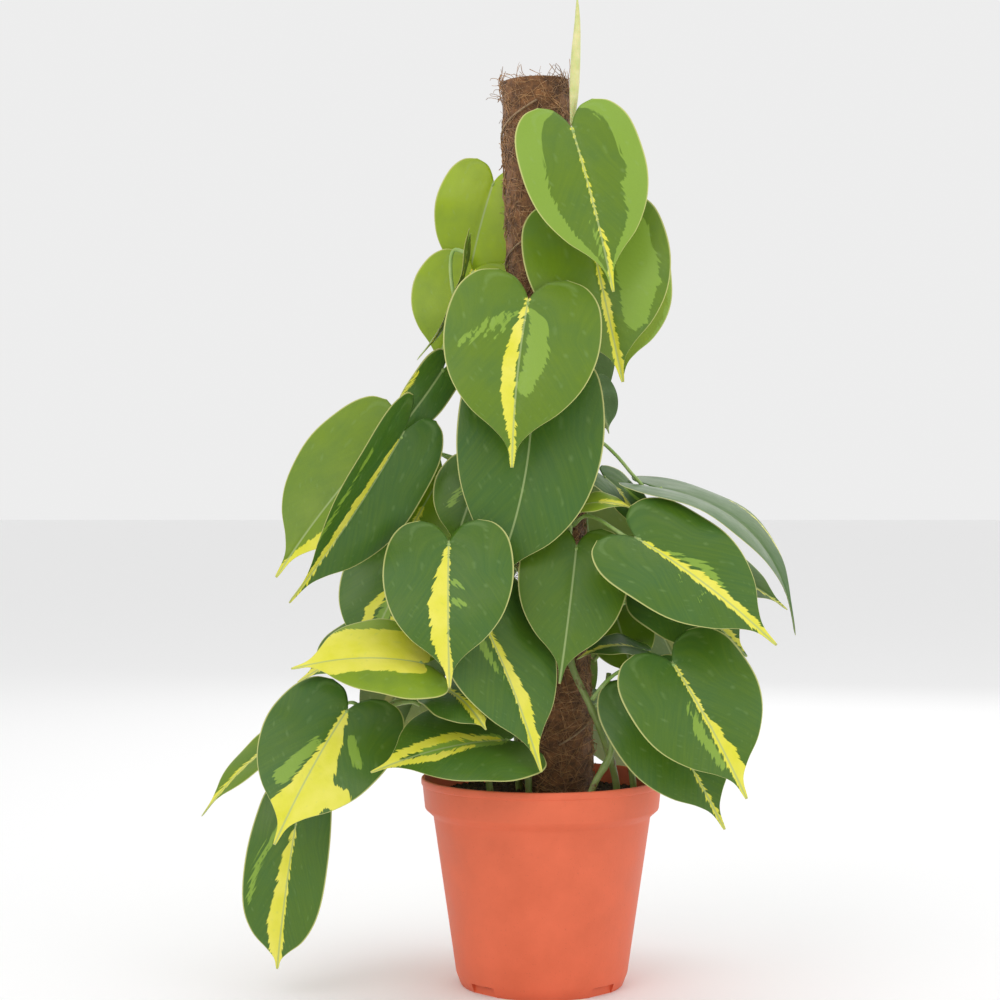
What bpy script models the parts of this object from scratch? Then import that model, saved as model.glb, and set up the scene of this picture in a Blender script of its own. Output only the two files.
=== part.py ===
"""A potted climbing heartleaf plant: a nursery pot, its soil, a coir pole and the vines and leaves on it.

Units are metres and +Z is up. The origin is the centre of the pot's foot, on the surface it stands on.
The side that most leaves face, the front, is -Y. Sizes in the tables below are in millimetres.
"""

import math
from collections import namedtuple

import bmesh
import bpy
from mathutils import Matrix, Vector

MM = 0.001
GAP = 0.35 * MM  # between pieces that touch

# The pot
POT_HEIGHT = 128
RIM_RADIUS = 75
BAND_BOTTOM = 109  # height where the collar under the rim steps in
BAND_RADIUS = 72.6
SHOULDER_RADIUS = 67.2
FOOT_RADIUS = 53.2
WALL = 1.6
FLOOR_THICKNESS = 4
POT_STEPS = 48
DRAIN_HOLES = 6
DRAIN_HOLE_RADIUS = 4
DRAIN_HOLE_RING = 37
FOOT_SLOTS = 4
FOOT_SLOT_WIDTH = 19
FOOT_SLOT_HEIGHT = 6

# The soil
SOIL_TOP = 116
SOIL_CROWN = 3  # how much the middle stands above the edge

# The coir pole, which leans a little to the left
POLE_FOOT = Vector((15, 0, 7)) * MM
POLE_TOP = Vector((-4, 0, 560)) * MM
POLE_RADIUS = 21
CORE_RADIUS = 6
CORE_BELOW_TOP = 8
TWINE_RADIUS = 0.6
TWINE_TURNS = 5
TWINE_LOW, TWINE_HIGH = 150, 545

# The plant
VINE_RADIUS = 2.3
PETIOLE_RADIUS = 1.35
LEAF_THICKNESS = 0.6
LEAF_ROWS, LEAF_COLUMNS = 7, 6
SLIVER = 0.05  # points closer than this, where a stalk joins its blade, become one
CLIMB_RADIUS = POLE_RADIUS + 2 * TWINE_RADIUS + VINE_RADIUS + 1

# Half of a heart-shaped blade, from the notch round the lobe to the drip tip.
# Across is in half widths and along is in blade lengths from the notch.
SINUS = [(0.0, 0.0), (0.08, -0.06), (0.22, -0.125), (0.45, -0.155)]
MARGIN = [
    (0.45, -0.155),
    (0.72, -0.12),
    (0.92, -0.01),
    (1.0, 0.16),
    (0.98, 0.35),
    (0.84, 0.53),
    (0.58, 0.68),
    (0.26, 0.79),
    (0.08, 0.88),
    (0.02, 1.0),
]

# Vines that climb the pole: heights, and the angle round the pole from the front, positive to the right.
Climber = namedtuple("Climber", "name foot turns")
CLIMBERS = [
    Climber("vine_front", 104, [(104, -50), (220, -45), (330, -10), (400, 20), (480, 40)]),
    Climber("vine_left", 104, [(104, -98), (250, -90), (350, -72), (432, -46)]),
    Climber("vine_back_left", 104, [(104, -150), (300, -140), (470, -155)]),
    Climber("vine_back_right", 104, [(104, 140), (260, 120), (420, 128)]),
]
# Vines that leave the pole or never reach it, as points.
SPRAWLERS = {
    "vine_right": [
        (46, -20, 104),
        (44, -26, 132),
        (32, -37, 168),
        (16, -36, 205),
        (14, -27, 250),
        (20, -22, 330),
        (21, -18, 420),
        (19, -16, 520),
    ],
    "vine_trailing": [
        (-30, -16, 104),
        (-36, -20, 138),
        (-58, -28, 172),
        (-92, -30, 176),
        (-124, -24, 150),
    ],
    "shoot_short": [(22, -45, 104), (30, -46, 128), (41, -45, 150), (37, -41, 172), (40, -34, 195)],
    "shoot_right": [(58, -24, 104), (55, -28, 128), (52, -31, 160), (56, -28, 200)],
}

# One row a leaf. vine and along say where its stalk leaves the vine. base is where the stalk meets the
# blade and tip is the end of the drip tip. face is the way the upper side looks, as an angle round from
# the front and a height, in degrees. fold lifts the left and right halves. arch bows the midrib outwards
# and bend bows it to the side. approach is how far the stalk already points along the blade at its base.
# low narrows the lobes and moves the widest part of the blade towards its tip.
Leaf = namedtuple(
    "Leaf",
    "name vine along base tip face width arch bend fold cup twist wave approach lift low",
    defaults=[6, 0, (8, 8), -14, 0, 0.8, 0.3, 0.3, 0],
)
LEAVES = [
    Leaf("leaf_01", "vine_right", 395, (17, -46, 524), (41, -66, 423), (6, 12), 76),
    Leaf("leaf_02", "vine_front", 372, (28, -24, 468), (48, -42, 371), (-4, 6), 90, fold=(24, 12)),
    Leaf("leaf_03", "vine_right", 345, (52, 0, 456), (49, -12, 374), (18, 10), 60),
    Leaf("leaf_04", "vine_back_left", 345, (-30, 36, 504), (-48, 46, 431), (-12, 8), 66),
    Leaf("leaf_05", "vine_left", 336, (-43, 29, 446), (-67, 21, 382), (-6, 10), 66, fold=(4, 10)),
    Leaf("leaf_06", "vine_left", 262, (-46, -34, 452), (-76, -44, 384), (90, 20), 26, approach=0.6, lift=0.1),
    Leaf("leaf_07", "vine_front", 285, (-9, -54, 420), (-19, -76, 319), (0, 12), 93, bend=-2),
    Leaf("leaf_08", "vine_front", 240, (-7, -42, 371), (-34, -62, 242), (0, 12), 88, bend=8),
    Leaf("leaf_09", "vine_left", 205, (-94, -4, 342), (-162, -32, 253), (-15, 25), 80),
    Leaf("leaf_10", "vine_left", 255, (-60, -32, 380), (-98, -36, 330), (66, 44), 28),
    Leaf("leaf_11", "vine_left", 195, (-83, -64, 340), (-149, -82, 240), (40, 10), 68, fold=(45, 2)),
    Leaf("leaf_12", "vine_left", 175, (-62, 8, 316), (-100, -8, 242), (-10, 18), 78),
    Leaf("leaf_13", "vine_left", 140, (-79, -32, 262), (-110, -48, 197), (-10, 20), 72, lift=0.1),
    Leaf("leaf_14", "vine_front", 130, (-56, -78, 276), (-55, -102, 192), (-4, 20), 76, lift=0.6),
    Leaf("leaf_15", "vine_front", 100, (-43, -58, 242), (-2, -88, 142), (26, 20), 74),
    Leaf("leaf_16", "vine_right", 150, (20, -46, 273), (9, -72, 192), (4, 16), 66),
    Leaf("leaf_17", "vine_right", 190, (54, -68, 278), (134, -92, 216), (6, 35), 75, approach=0.8),
    Leaf("leaf_18", "vine_right", 240, (69, -20, 308), (153, -34, 218), (60, 62), 76, arch=24),
    Leaf("leaf_19", "vine_back_right", 140, (88, 2, 262), (152, -6, 232), (20, 60), 54),
    Leaf("leaf_20", "vine_right", 80, (75, -74, 205), (116, -98, 128), (4, 25), 79, approach=0.8),
    Leaf("leaf_21", "shoot_right", 70, (61, -44, 186), (107, -64, 105), (2, 20), 70),
    Leaf("leaf_22", "vine_back_right", 115, (72, -30, 250), (122, -48, 206), (10, 30), 66),
    Leaf("leaf_23", "vine_trailing", 85, (-70, -84, 205), (-146, -100, 203), (-8, 54), 72, lift=0.2),
    Leaf("leaf_24", "vine_trailing", 95, (-117, -48, 175), (-157, -88, 100), (-6, 30), 82),
    Leaf("leaf_25", "vine_trailing", 130, (-149, -12, 161), (-208, -26, 107), (-40, 40), 30),
    Leaf("leaf_26", "vine_trailing", 150, (-148, -30, 115), (-160, -44, 18), (-6, 8), 60, fold=(4, 30), low=0.14),
    Leaf("leaf_27", "vine_front", 70, (-60, -66, 189), (-34, -92, 167), (14, 36), 44, low=0.1),
    Leaf("leaf_28", "vine_front", 36, (-20, -62, 158), (-100, -104, 144), (-4, 50), 72),
    Leaf("leaf_29", "vine_left", 190, (-36, -36, 318), (-54, -42, 268), (-10, 16), 50),
    Leaf("leaf_30", "vine_back_right", 230, (32, 26, 373), (43, 22, 342), (170, 0), 26),
    Leaf("leaf_31", "vine_right", 215, (38, -11, 315), (66, -24, 268), (50, 20), 38),
    Leaf("leaf_32", "vine_right", 165, (14, -38, 293), (56, -48, 294), (0, 64), 28),
    Leaf("leaf_33", "vine_back_right", 95, (46, -8, 228), (56, -18, 188), (0, 14), 42),
    Leaf("leaf_34", "shoot_short", 86, (62, -34, 209), (20, -44, 204), (0, 72), 36),
    Leaf("leaf_35", "vine_left", 95, (-83, -12, 214), (-148, -40, 190), (-20, 50), 62, approach=0.6, lift=0.4),
    Leaf("leaf_36", "vine_back_left", 340, (2, 60, 468), (6, 88, 374), (180, 12), 76),
    Leaf("leaf_37", "vine_back_right", 300, (18, 44, 420), (16, 74, 325), (170, 12), 62),
    Leaf("leaf_38", "vine_back_left", 230, (-14, 46, 350), (-20, 78, 255), (190, 14), 66),
    Leaf("leaf_39", "vine_back_right", 190, (22, 44, 300), (32, 78, 212), (165, 16), 72),
    Leaf("leaf_40", "vine_back_left", 150, (-42, 42, 270), (-70, 74, 190), (205, 18), 76),
    Leaf("leaf_41", "vine_back_right", 120, (62, 34, 240), (98, 60, 160), (130, 24), 78),
    Leaf("leaf_42", "vine_back_left", 100, (-72, 37, 208), (-108, 45, 130), (228, 24), 76),
    Leaf("leaf_43", "vine_back_left", 80, (-6, 66, 205), (0, 104, 118), (180, 26), 86),
    Leaf("leaf_44", "vine_back_right", 60, (44, 62, 172), (72, 98, 100), (160, 26), 74),
    Leaf("leaf_45", "vine_back_left", 50, (-50, 56, 172), (-68, 92, 104), (205, 26), 68),
    Leaf("leaf_46", "vine_right", 370, (34, 22, 516), (50, 46, 440), (168, 14), 56),
]

COLOURS = {
    "plastic": (0.72, 0.14, 0.06),
    "soil": (0.035, 0.02, 0.012),
    "coir": (0.24, 0.11, 0.045),
    "wood": (0.5, 0.34, 0.18),
    "twine": (0.55, 0.36, 0.2),
    "stem": (0.28, 0.42, 0.09),
    "leaf": (0.07, 0.24, 0.04),
    "new_leaf": (0.8, 0.75, 0.3),
}
ROUGHNESS = {"plastic": 0.5, "leaf": 0.38, "stem": 0.45, "new_leaf": 0.45}


# Scene helpers


def clear_scene():
    for obj in list(bpy.data.objects):
        bpy.data.objects.remove(obj)


def new_collection(name):
    collection = bpy.data.collections.new(name)
    bpy.context.scene.collection.children.link(collection)
    return collection


def material(name):
    found = bpy.data.materials.get(name)
    if found:
        return found
    made = bpy.data.materials.new(name)
    made.use_nodes = True
    shader = made.node_tree.nodes["Principled BSDF"]
    shader.inputs["Base Color"].default_value = (*COLOURS[name], 1)
    shader.inputs["Roughness"].default_value = ROUGHNESS.get(name, 0.9)
    shader.inputs["Metallic"].default_value = 0
    return made


def add_object(name, data, finish):
    """Puts a mesh or curve in the plant's collection as one named piece."""
    obj = bpy.data.objects.new(name, data)
    data.materials.append(material(finish))
    PLANT.objects.link(obj)
    return obj


def as_cutter(obj):
    for collection in list(obj.users_collection):
        collection.objects.unlink(obj)
    CUTTERS.objects.link(obj)
    obj.hide_render = True
    obj.display_type = "WIRE"
    return obj


def combine(obj, other, operation):
    modifier = obj.modifiers.new(operation.title() + " " + other.name, "BOOLEAN")
    modifier.operation = operation
    modifier.object = other
    modifier.solver = "EXACT"


def cylinder_cutter(name, radius, start, end, sides=16):
    """A cutter along the line from start to end."""
    mesh = bpy.data.meshes.new(name)
    shape = bmesh.new()
    length = (end - start).length
    bmesh.ops.create_cone(shape, cap_ends=True, segments=sides, radius1=radius, radius2=radius, depth=length)
    turn = (end - start).to_track_quat("Z", "Y").to_matrix().to_4x4()
    shape.transform(Matrix.Translation((start + end) / 2) @ turn)
    shape.to_mesh(mesh)
    shape.free()
    return as_cutter(add_object(name, mesh, "wood"))


def turned(name, profile, finish, steps):
    """A solid turned about Z from points (radius, height) in millimetres, outer side running down."""
    mesh = bpy.data.meshes.new(name)
    points = [Vector((radius, 0, height)) * MM for radius, height in profile]
    mesh.from_pydata(points, [(i, i + 1) for i in range(len(points) - 1)], [])
    obj = add_object(name, mesh, finish)
    screw = obj.modifiers.new("Turn", "SCREW")
    screw.steps = screw.render_steps = steps
    screw.use_merge_vertices = True
    screw.merge_threshold = 0.00005
    screw.use_smooth_shade = True
    return obj


def tube(name, points, radius, finish, thickness=None, bevel_resolution=1):
    """A round bar along points. thickness gives each point its own share of the radius."""
    curve = bpy.data.curves.new(name, "CURVE")
    curve.dimensions = "3D"
    curve.bevel_depth = radius
    curve.bevel_resolution = bevel_resolution
    curve.use_fill_caps = True
    spline = curve.splines.new("POLY")
    spline.points.add(len(points) - 1)
    for i, point in enumerate(points):
        spline.points[i].co = (*point, 1)
        spline.points[i].radius = thickness[i] if thickness else 1
    return add_object(name, curve, finish)


def meshed(curve_object):
    """Turns a curve object into a mesh object with welded caps, for a Boolean."""
    graph = bpy.context.evaluated_depsgraph_get()
    mesh = bpy.data.meshes.new_from_object(curve_object.evaluated_get(graph))
    shape = bmesh.new()
    shape.from_mesh(mesh)
    bmesh.ops.remove_doubles(shape, verts=shape.verts, dist=0.00001)
    bmesh.ops.recalc_face_normals(shape, faces=shape.faces)
    shape.to_mesh(mesh)
    shape.free()
    name = curve_object.name
    placed = curve_object.matrix_world.copy()
    bpy.data.objects.remove(curve_object)
    obj = bpy.data.objects.new(name, mesh)
    obj.matrix_world = placed
    PLANT.objects.link(obj)
    return obj


# Curves


def smooth_value(points, share):
    """A point at share (0 to 1) of a Catmull-Rom curve through points."""
    spans = len(points) - 1
    place = min(max(share, 0), 1) * spans
    i = min(int(place), spans - 1)
    t = place - i
    p1, p2 = Vector(points[i]), Vector(points[i + 1])
    p0 = Vector(points[i - 1]) if i else 2 * p1 - p2
    p3 = Vector(points[i + 2]) if i + 2 <= spans else 2 * p2 - p1
    return 0.5 * (
        2 * p1 + (p2 - p0) * t + (2 * p0 - 5 * p1 + 4 * p2 - p3) * t**2 + (3 * p1 - p0 - 3 * p2 + p3) * t**3
    )


def bezier(p0, p1, p2, p3, t):
    s = 1 - t
    return p0 * s**3 + 3 * p1 * s * s * t + 3 * p2 * s * t * t + p3 * t**3


def bezier_slope(p0, p1, p2, p3, t):
    s = 1 - t
    return (p1 - p0) * s * s + 2 * (p2 - p1) * s * t + (p3 - p2) * t * t


def spaced(points, step):
    """The same line with a point about every step."""
    total = sum((b - a).length for a, b in zip(points, points[1:]))
    count = max(2, round(total / step))
    wanted, done, found = total / count, 0, [points[0]]
    for a, b in zip(points, points[1:]):
        length = (b - a).length
        while len(found) < count and done + length >= wanted * len(found):
            found.append(a.lerp(b, (wanted * len(found) - done) / length))
        done += length
    return found + [points[-1]]


def pole_point(height, angle, radius):
    """A point at a height, beside the leaning pole, at an angle round from the front, all in mm and degrees."""
    share = (height * MM - POLE_FOOT.z) / (POLE_TOP.z - POLE_FOOT.z)
    centre = POLE_FOOT.lerp(POLE_TOP, share)
    turn = math.radians(angle)
    return centre + Vector((math.sin(turn), -math.cos(turn), 0)) * radius * MM


# The holder


def make_pot():
    inner_shoulder = SHOULDER_RADIUS - WALL
    profile = [
        (0, FLOOR_THICKNESS),
        (FOOT_RADIUS - 5, FLOOR_THICKNESS),
        (FOOT_RADIUS - 2.4, FLOOR_THICKNESS + 3),
        (inner_shoulder, BAND_BOTTOM - 5),
        (BAND_RADIUS - WALL, BAND_BOTTOM + 1),
        (RIM_RADIUS - 2.6, POT_HEIGHT - 1.5),
        (RIM_RADIUS - 2, POT_HEIGHT),
        (RIM_RADIUS - 0.5, POT_HEIGHT),
        (RIM_RADIUS, POT_HEIGHT - 0.8),
        (RIM_RADIUS - 0.1, POT_HEIGHT - 4),
        (RIM_RADIUS - 0.9, POT_HEIGHT - 4.6),
        (BAND_RADIUS, BAND_BOTTOM),
        (SHOULDER_RADIUS + 0.4, BAND_BOTTOM - 4.5),
        (SHOULDER_RADIUS, BAND_BOTTOM - 6),
        (FOOT_RADIUS, 7),
        (FOOT_RADIUS - 3, 0),
        (FOOT_RADIUS - 7, 0),
        (FOOT_RADIUS - 8, 1.6),
        (30, 1.6),
        (29, 0),
        (0, 0),
    ]
    pot = turned("pot", profile, "plastic", POT_STEPS)
    for i in range(DRAIN_HOLES):
        angle = math.tau * (i + 0.5) / DRAIN_HOLES
        place = Vector((math.cos(angle), math.sin(angle), 0)) * DRAIN_HOLE_RING * MM
        up = Vector((0, 0, 10)) * MM
        cutter = cylinder_cutter(f"drain_{i + 1}", DRAIN_HOLE_RADIUS * MM, place - up, place + up, 12)
        combine(pot, cutter, "DIFFERENCE")
    for i in range(FOOT_SLOTS):
        cutter = foot_slot_cutter(i)
        combine(pot, cutter, "DIFFERENCE")


def foot_slot_cutter(i):
    bpy.ops.mesh.primitive_cube_add(size=1)
    cutter = bpy.context.object
    cutter.name = f"foot_slot_{i + 1}"
    depth = 9
    size = Vector((depth, FOOT_SLOT_WIDTH, 2 * FOOT_SLOT_HEIGHT)) * MM
    cutter.data.transform(Matrix.Diagonal((*size, 1)))
    turn = Matrix.Rotation(math.tau * (i + 0.5) / FOOT_SLOTS, 4, "Z")
    cutter.matrix_world = turn @ Matrix.Translation(Vector((FOOT_RADIUS, 0, 0)) * MM)
    return as_cutter(cutter)


def make_soil():
    clear = 0.4
    profile = [
        (0, SOIL_TOP + SOIL_CROWN),
        (40, SOIL_TOP + SOIL_CROWN * 0.7),
        (BAND_RADIUS - WALL - 1, SOIL_TOP),
        (BAND_RADIUS - WALL - clear, SOIL_TOP - 3),
        (BAND_RADIUS - WALL - clear, BAND_BOTTOM + 1.6),
        (SHOULDER_RADIUS - WALL - clear, BAND_BOTTOM - 4.6),
        (FOOT_RADIUS - 2.4 - clear, FLOOR_THICKNESS + 3),
        (FOOT_RADIUS - 5 - clear, FLOOR_THICKNESS + clear),
        (0, FLOOR_THICKNESS + clear),
    ]
    soil = turned("soil", profile, "soil", 32)
    along = (POLE_TOP - POLE_FOOT).normalized()
    hole = cylinder_cutter(
        "pole_hole", POLE_RADIUS * MM + GAP, POLE_FOOT - along * 0.5 * MM, POLE_FOOT + along * 0.16, 24
    )
    combine(soil, hole, "DIFFERENCE")
    for name, line in VINE_LINES.items():
        along = (point_along(line, 15)[0] - line[0]).normalized()
        pocket = cylinder_cutter(
            f"pocket_{name}", VINE_RADIUS * MM + GAP * 2, line[0] - along * GAP * 2, line[0] + along * 0.03, 8
        )
        combine(soil, pocket, "DIFFERENCE")


def make_pole():
    along = (POLE_TOP - POLE_FOOT).normalized()
    wrap = cylinder_cutter("coir_wrap", POLE_RADIUS * MM, POLE_FOOT, POLE_TOP, 24)
    CUTTERS.objects.unlink(wrap)
    PLANT.objects.link(wrap)
    wrap.hide_render = False
    wrap.display_type = "TEXTURED"
    wrap.data.materials[0] = material("coir")
    wrap.data.shade_smooth()
    bore = cylinder_cutter(
        "core_bore", CORE_RADIUS * MM + GAP, POLE_FOOT - along * 0.01, POLE_TOP + along * 0.01, 12
    )
    combine(wrap, bore, "DIFFERENCE")
    tube("pole_core", [POLE_FOOT, POLE_TOP - along * CORE_BELOW_TOP * MM], CORE_RADIUS * MM, "wood")
    steps = 20 * TWINE_TURNS
    radius = POLE_RADIUS + TWINE_RADIUS + 0.8
    line = []
    for i in range(steps + 1):
        share = i / steps
        height = TWINE_LOW + (TWINE_HIGH - TWINE_LOW) * share
        line.append(pole_point(height, 360 * TWINE_TURNS * share, radius))
    tube("binding_twine", line, TWINE_RADIUS * MM, "twine", bevel_resolution=0)


# The plant


def vine_lines():
    """Each vine's centre line, from its foot in the soil to its end."""
    lines = {}
    for climber in CLIMBERS:
        points = []
        for i in range(61):
            height, angle = smooth_value([(*turn, 0) for turn in climber.turns], i / 60)[:2]
            points.append(pole_point(height, angle, CLIMB_RADIUS))
        lines[climber.name] = points
    for name, points in SPRAWLERS.items():
        lines[name] = [smooth_value(points, i / 60) * MM for i in range(61)]
    return lines


def point_along(line, distance):
    """The point that far along a vine, in millimetres from its foot, and the vine's direction there."""
    left = distance * MM
    for a, b in zip(line, line[1:]):
        length = (b - a).length
        if length >= left:
            return a.lerp(b, left / length), (b - a).normalized()
        left -= length
    return line[-1], (line[-1] - line[-2]).normalized()


def make_vines():
    for name, line in VINE_LINES.items():
        points = spaced(line, 0.026)
        taper = [1 - 0.3 * i / (len(points) - 1) for i in range(len(points))]
        tube(name, points, VINE_RADIUS * MM, "stem", taper)


class Blade:
    """The curved middle surface of one leaf blade."""

    def __init__(self, leaf):
        self.leaf = leaf
        self.base, self.tip = Vector(leaf.base) * MM, Vector(leaf.tip) * MM
        chord = self.tip - self.base
        round_angle, height = (math.radians(a) for a in leaf.face)
        face = Vector(
            (
                math.sin(round_angle) * math.cos(height),
                -math.cos(round_angle) * math.cos(height),
                math.sin(height),
            )
        )
        self.normal = (face - chord * face.dot(chord) / chord.length_squared).normalized()
        side = self.normal.cross(chord.normalized())
        bow = (self.normal * leaf.arch + side * leaf.bend) * MM / 0.75
        self.handles = (self.base, self.base + chord / 3 + bow, self.tip - chord / 3 + bow, self.tip)
        self.length = chord.length

    def frame(self, along):
        """The midrib's point, and the blade's length, side and upward directions there."""
        t = max(along, 0)
        point = bezier(*self.handles, t)
        forward = bezier_slope(*self.handles, t).normalized()
        if along < 0:
            point = point + forward * along * self.length
        up = (self.normal - forward * self.normal.dot(forward)).normalized()
        up = Matrix.Rotation(math.radians(self.leaf.twist * t), 3, forward) @ up
        return point, forward, up.cross(forward), up

    def point(self, across, along):
        """A point of the surface, across from -1 to 1 and along from 0 (the notch side) to 1 (the tip)."""
        share = abs(across)
        margin = smooth_value([(*p, 0) for p in MARGIN], along)
        reach = min(max(margin.y, 0), 1)
        margin.x *= 1 - self.leaf.low * (1 - reach) ** 2
        margin.y += 4 * self.leaf.low * reach * (1 - reach)
        sinus = smooth_value([(*p, 0) for p in SINUS], share)
        lobe = (sinus - Vector((*MARGIN[0], 0)) * share) * (1 - along) ** 3
        flat_across = margin.x * share + lobe.x
        flat_along = along * (1 - share) + margin.y * share + lobe.y
        point, _, side, up = self.frame(flat_along)
        leaf = self.leaf
        out = flat_across * leaf.width / 2 * MM
        rise = math.radians(leaf.fold[across > 0] + leaf.cup * flat_across / 2)
        ripple = leaf.wave * MM * math.sin(14 * flat_along + 2 * across) * flat_across**2
        return (
            point
            + side * math.copysign(out * math.cos(rise), across)
            + up * (out * math.sin(rise) + ripple)
        )


def make_blade(leaf, blade):
    mesh = bpy.data.meshes.new(leaf.name)
    shape = bmesh.new()
    bmesh.ops.create_grid(shape, x_segments=LEAF_COLUMNS, y_segments=LEAF_ROWS, size=1)
    for vertex in shape.verts:
        vertex.co = blade.point(vertex.co.x, (vertex.co.y + 1) / 2)
    shape.to_mesh(mesh)
    shape.free()
    mesh.shade_smooth()
    obj = add_object(leaf.name, mesh, "leaf")
    shell = obj.modifiers.new("Thickness", "SOLIDIFY")
    shell.thickness = LEAF_THICKNESS * MM
    shell.offset = 0
    return obj


def petiole_line(leaf, blade):
    """The leaf's stalk, from just off the vine to just inside the blade."""
    start, vine_direction = point_along(VINE_LINES[leaf.vine], leaf.along)
    end, forward, _, up = blade.frame(0.03)
    outward = end - start
    outward = outward - vine_direction * outward.dot(vine_direction)
    height = start.z / MM
    from_pole = start - pole_point(height, 0, 0)
    from_pole.z = 0
    if from_pole.length < (CLIMB_RADIUS + 6) * MM:
        outward = outward.normalized() + from_pole.normalized() * 0.9
    outward.normalize()
    start = start + outward * (VINE_RADIUS + 1.1) * MM
    reach = (end - start).length
    arrive = (up * 0.8 + forward * leaf.approach).normalized()
    rise = Vector((0, 0, 1)) * leaf.lift
    first = start + (outward * 0.3 + rise) * reach
    second = end - arrive * 0.35 * reach
    count = max(5, round(reach / 0.014))
    return [bezier(start, first, second, end, i / count) for i in range(count + 1)]


def make_leaf(leaf):
    blade = Blade(leaf)
    obj = make_blade(leaf, blade)
    line = petiole_line(leaf, blade)
    stalk = tube(f"petiole_{leaf.name}", line, PETIOLE_RADIUS * MM, "stem")
    combine(obj, as_cutter(meshed(stalk)), "UNION")
    clean = obj.modifiers.new("Weld slivers", "WELD")
    clean.merge_threshold = SLIVER * MM


def make_new_leaf():
    """The pale rolled leaf at the top of the plant, which hasn't opened."""
    points = [(18, -28, 528), (19, -31, 548), (20, -32, 570), (21, -31, 590), (21, -30, 606)]
    line = [smooth_value(points, i / 8) * MM for i in range(9)]
    thickness = [0.45, 0.7, 0.95, 1, 0.95, 0.8, 0.6, 0.38, 0.12]
    tube("new_leaf", line, 3 * MM, "new_leaf", thickness)


clear_scene()
PLANT = new_collection("Potted climbing plant")
CUTTERS = new_collection("Cutters")
VINE_LINES = vine_lines()
make_pot()
make_soil()
make_pole()
make_vines()
make_new_leaf()
for each_leaf in LEAVES:
    make_leaf(each_leaf)
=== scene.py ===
"""The looks of a potted climbing heartleaf plant: pot, soil, coir pole, vines and variegated leaves.

Units are metres and +Z is up. Sizes in the tables are in millimetres, and they repeat the part's own.
"""

import math
import random
from collections import namedtuple

import bmesh
import bpy
import numpy as np
from mathutils import Matrix, Vector


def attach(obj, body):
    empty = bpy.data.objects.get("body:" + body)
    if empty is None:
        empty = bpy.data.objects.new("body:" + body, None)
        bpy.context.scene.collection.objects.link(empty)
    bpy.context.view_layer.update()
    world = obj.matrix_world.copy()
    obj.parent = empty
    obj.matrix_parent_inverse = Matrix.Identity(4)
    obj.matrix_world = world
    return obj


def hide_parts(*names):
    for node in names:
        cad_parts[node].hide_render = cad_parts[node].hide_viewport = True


bl_info = {
    "name": "Potted climbing plant",
    "version": (1, 0, 0),
    "blender": (4, 5, 0),
    "location": "3D View > Sidebar > Plant",
    "description": "Builds the finished pot, soil, coir pole, vines and leaves of a potted climbing plant",
    "category": "Add Mesh",
}

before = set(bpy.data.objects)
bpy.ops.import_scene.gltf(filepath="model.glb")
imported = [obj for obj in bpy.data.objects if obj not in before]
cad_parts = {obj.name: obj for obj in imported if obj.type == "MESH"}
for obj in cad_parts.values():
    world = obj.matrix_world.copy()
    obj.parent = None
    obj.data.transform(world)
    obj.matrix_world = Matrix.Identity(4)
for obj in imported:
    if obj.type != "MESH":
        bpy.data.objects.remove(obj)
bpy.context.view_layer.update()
MM = 0.001

# The pot
POT_HEIGHT = 128
RIM_RADIUS = 75
BAND_BOTTOM = 109
BAND_RADIUS = 72.6
SHOULDER_RADIUS = 67.2
FOOT_RADIUS = 53.2
WALL = 1.6
FLOOR_THICKNESS = 4
DRAIN_HOLES, DRAIN_HOLE_RADIUS, DRAIN_HOLE_RING = 6, 4, 37
FOOT_SLOTS, FOOT_SLOT_WIDTH, FOOT_SLOT_HEIGHT = 4, 19, 6
SOIL_TOP = 116
SOIL_CROWN = 3

# The coir pole
POLE_FOOT = Vector((15, 0, 7)) * MM
POLE_TOP = Vector((-4, 0, 560)) * MM
POLE_RADIUS = 21
TWINE_RADIUS = 0.6
TWINE_TURNS = 5
TWINE_LOW, TWINE_HIGH = 150, 545

# The plant
VINE_RADIUS = 2.3
PETIOLE_RADIUS = 1.35
CLIMB_RADIUS = POLE_RADIUS + 2 * TWINE_RADIUS + VINE_RADIUS + 1

# Half of a heart-shaped blade, from the notch round the lobe to the drip tip.
# Across is in half widths and along is in blade lengths from the notch.
SINUS = [(0.0, 0.0), (0.08, -0.06), (0.22, -0.125), (0.45, -0.155)]
MARGIN = [
    (0.45, -0.155),
    (0.72, -0.12),
    (0.92, -0.01),
    (1.0, 0.16),
    (0.98, 0.35),
    (0.84, 0.53),
    (0.58, 0.68),
    (0.26, 0.79),
    (0.08, 0.88),
    (0.02, 1.0),
]

# Vines that climb the pole: heights, and the angle round the pole from the front, positive to the right.
Climber = namedtuple("Climber", "name foot turns")
CLIMBERS = [
    Climber("vine_front", 104, [(104, -50), (220, -45), (330, -10), (400, 20), (480, 40)]),
    Climber("vine_left", 104, [(104, -98), (250, -90), (350, -72), (432, -46)]),
    Climber("vine_back_left", 104, [(104, -150), (300, -140), (470, -155)]),
    Climber("vine_back_right", 104, [(104, 140), (260, 120), (420, 128)]),
]
# Vines that leave the pole or never reach it, as points.
SPRAWLERS = {
    "vine_right": [
        (46, -20, 104),
        (44, -26, 132),
        (32, -37, 168),
        (16, -36, 205),
        (14, -27, 250),
        (20, -22, 330),
        (21, -18, 420),
        (19, -16, 520),
    ],
    "vine_trailing": [
        (-30, -16, 104),
        (-36, -20, 138),
        (-58, -28, 172),
        (-92, -30, 176),
        (-124, -24, 150),
    ],
    "shoot_short": [(22, -45, 104), (30, -46, 128), (41, -45, 150), (37, -41, 172), (40, -34, 195)],
    "shoot_right": [(58, -24, 104), (55, -28, 128), (52, -31, 160), (56, -28, 200)],
}

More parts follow.
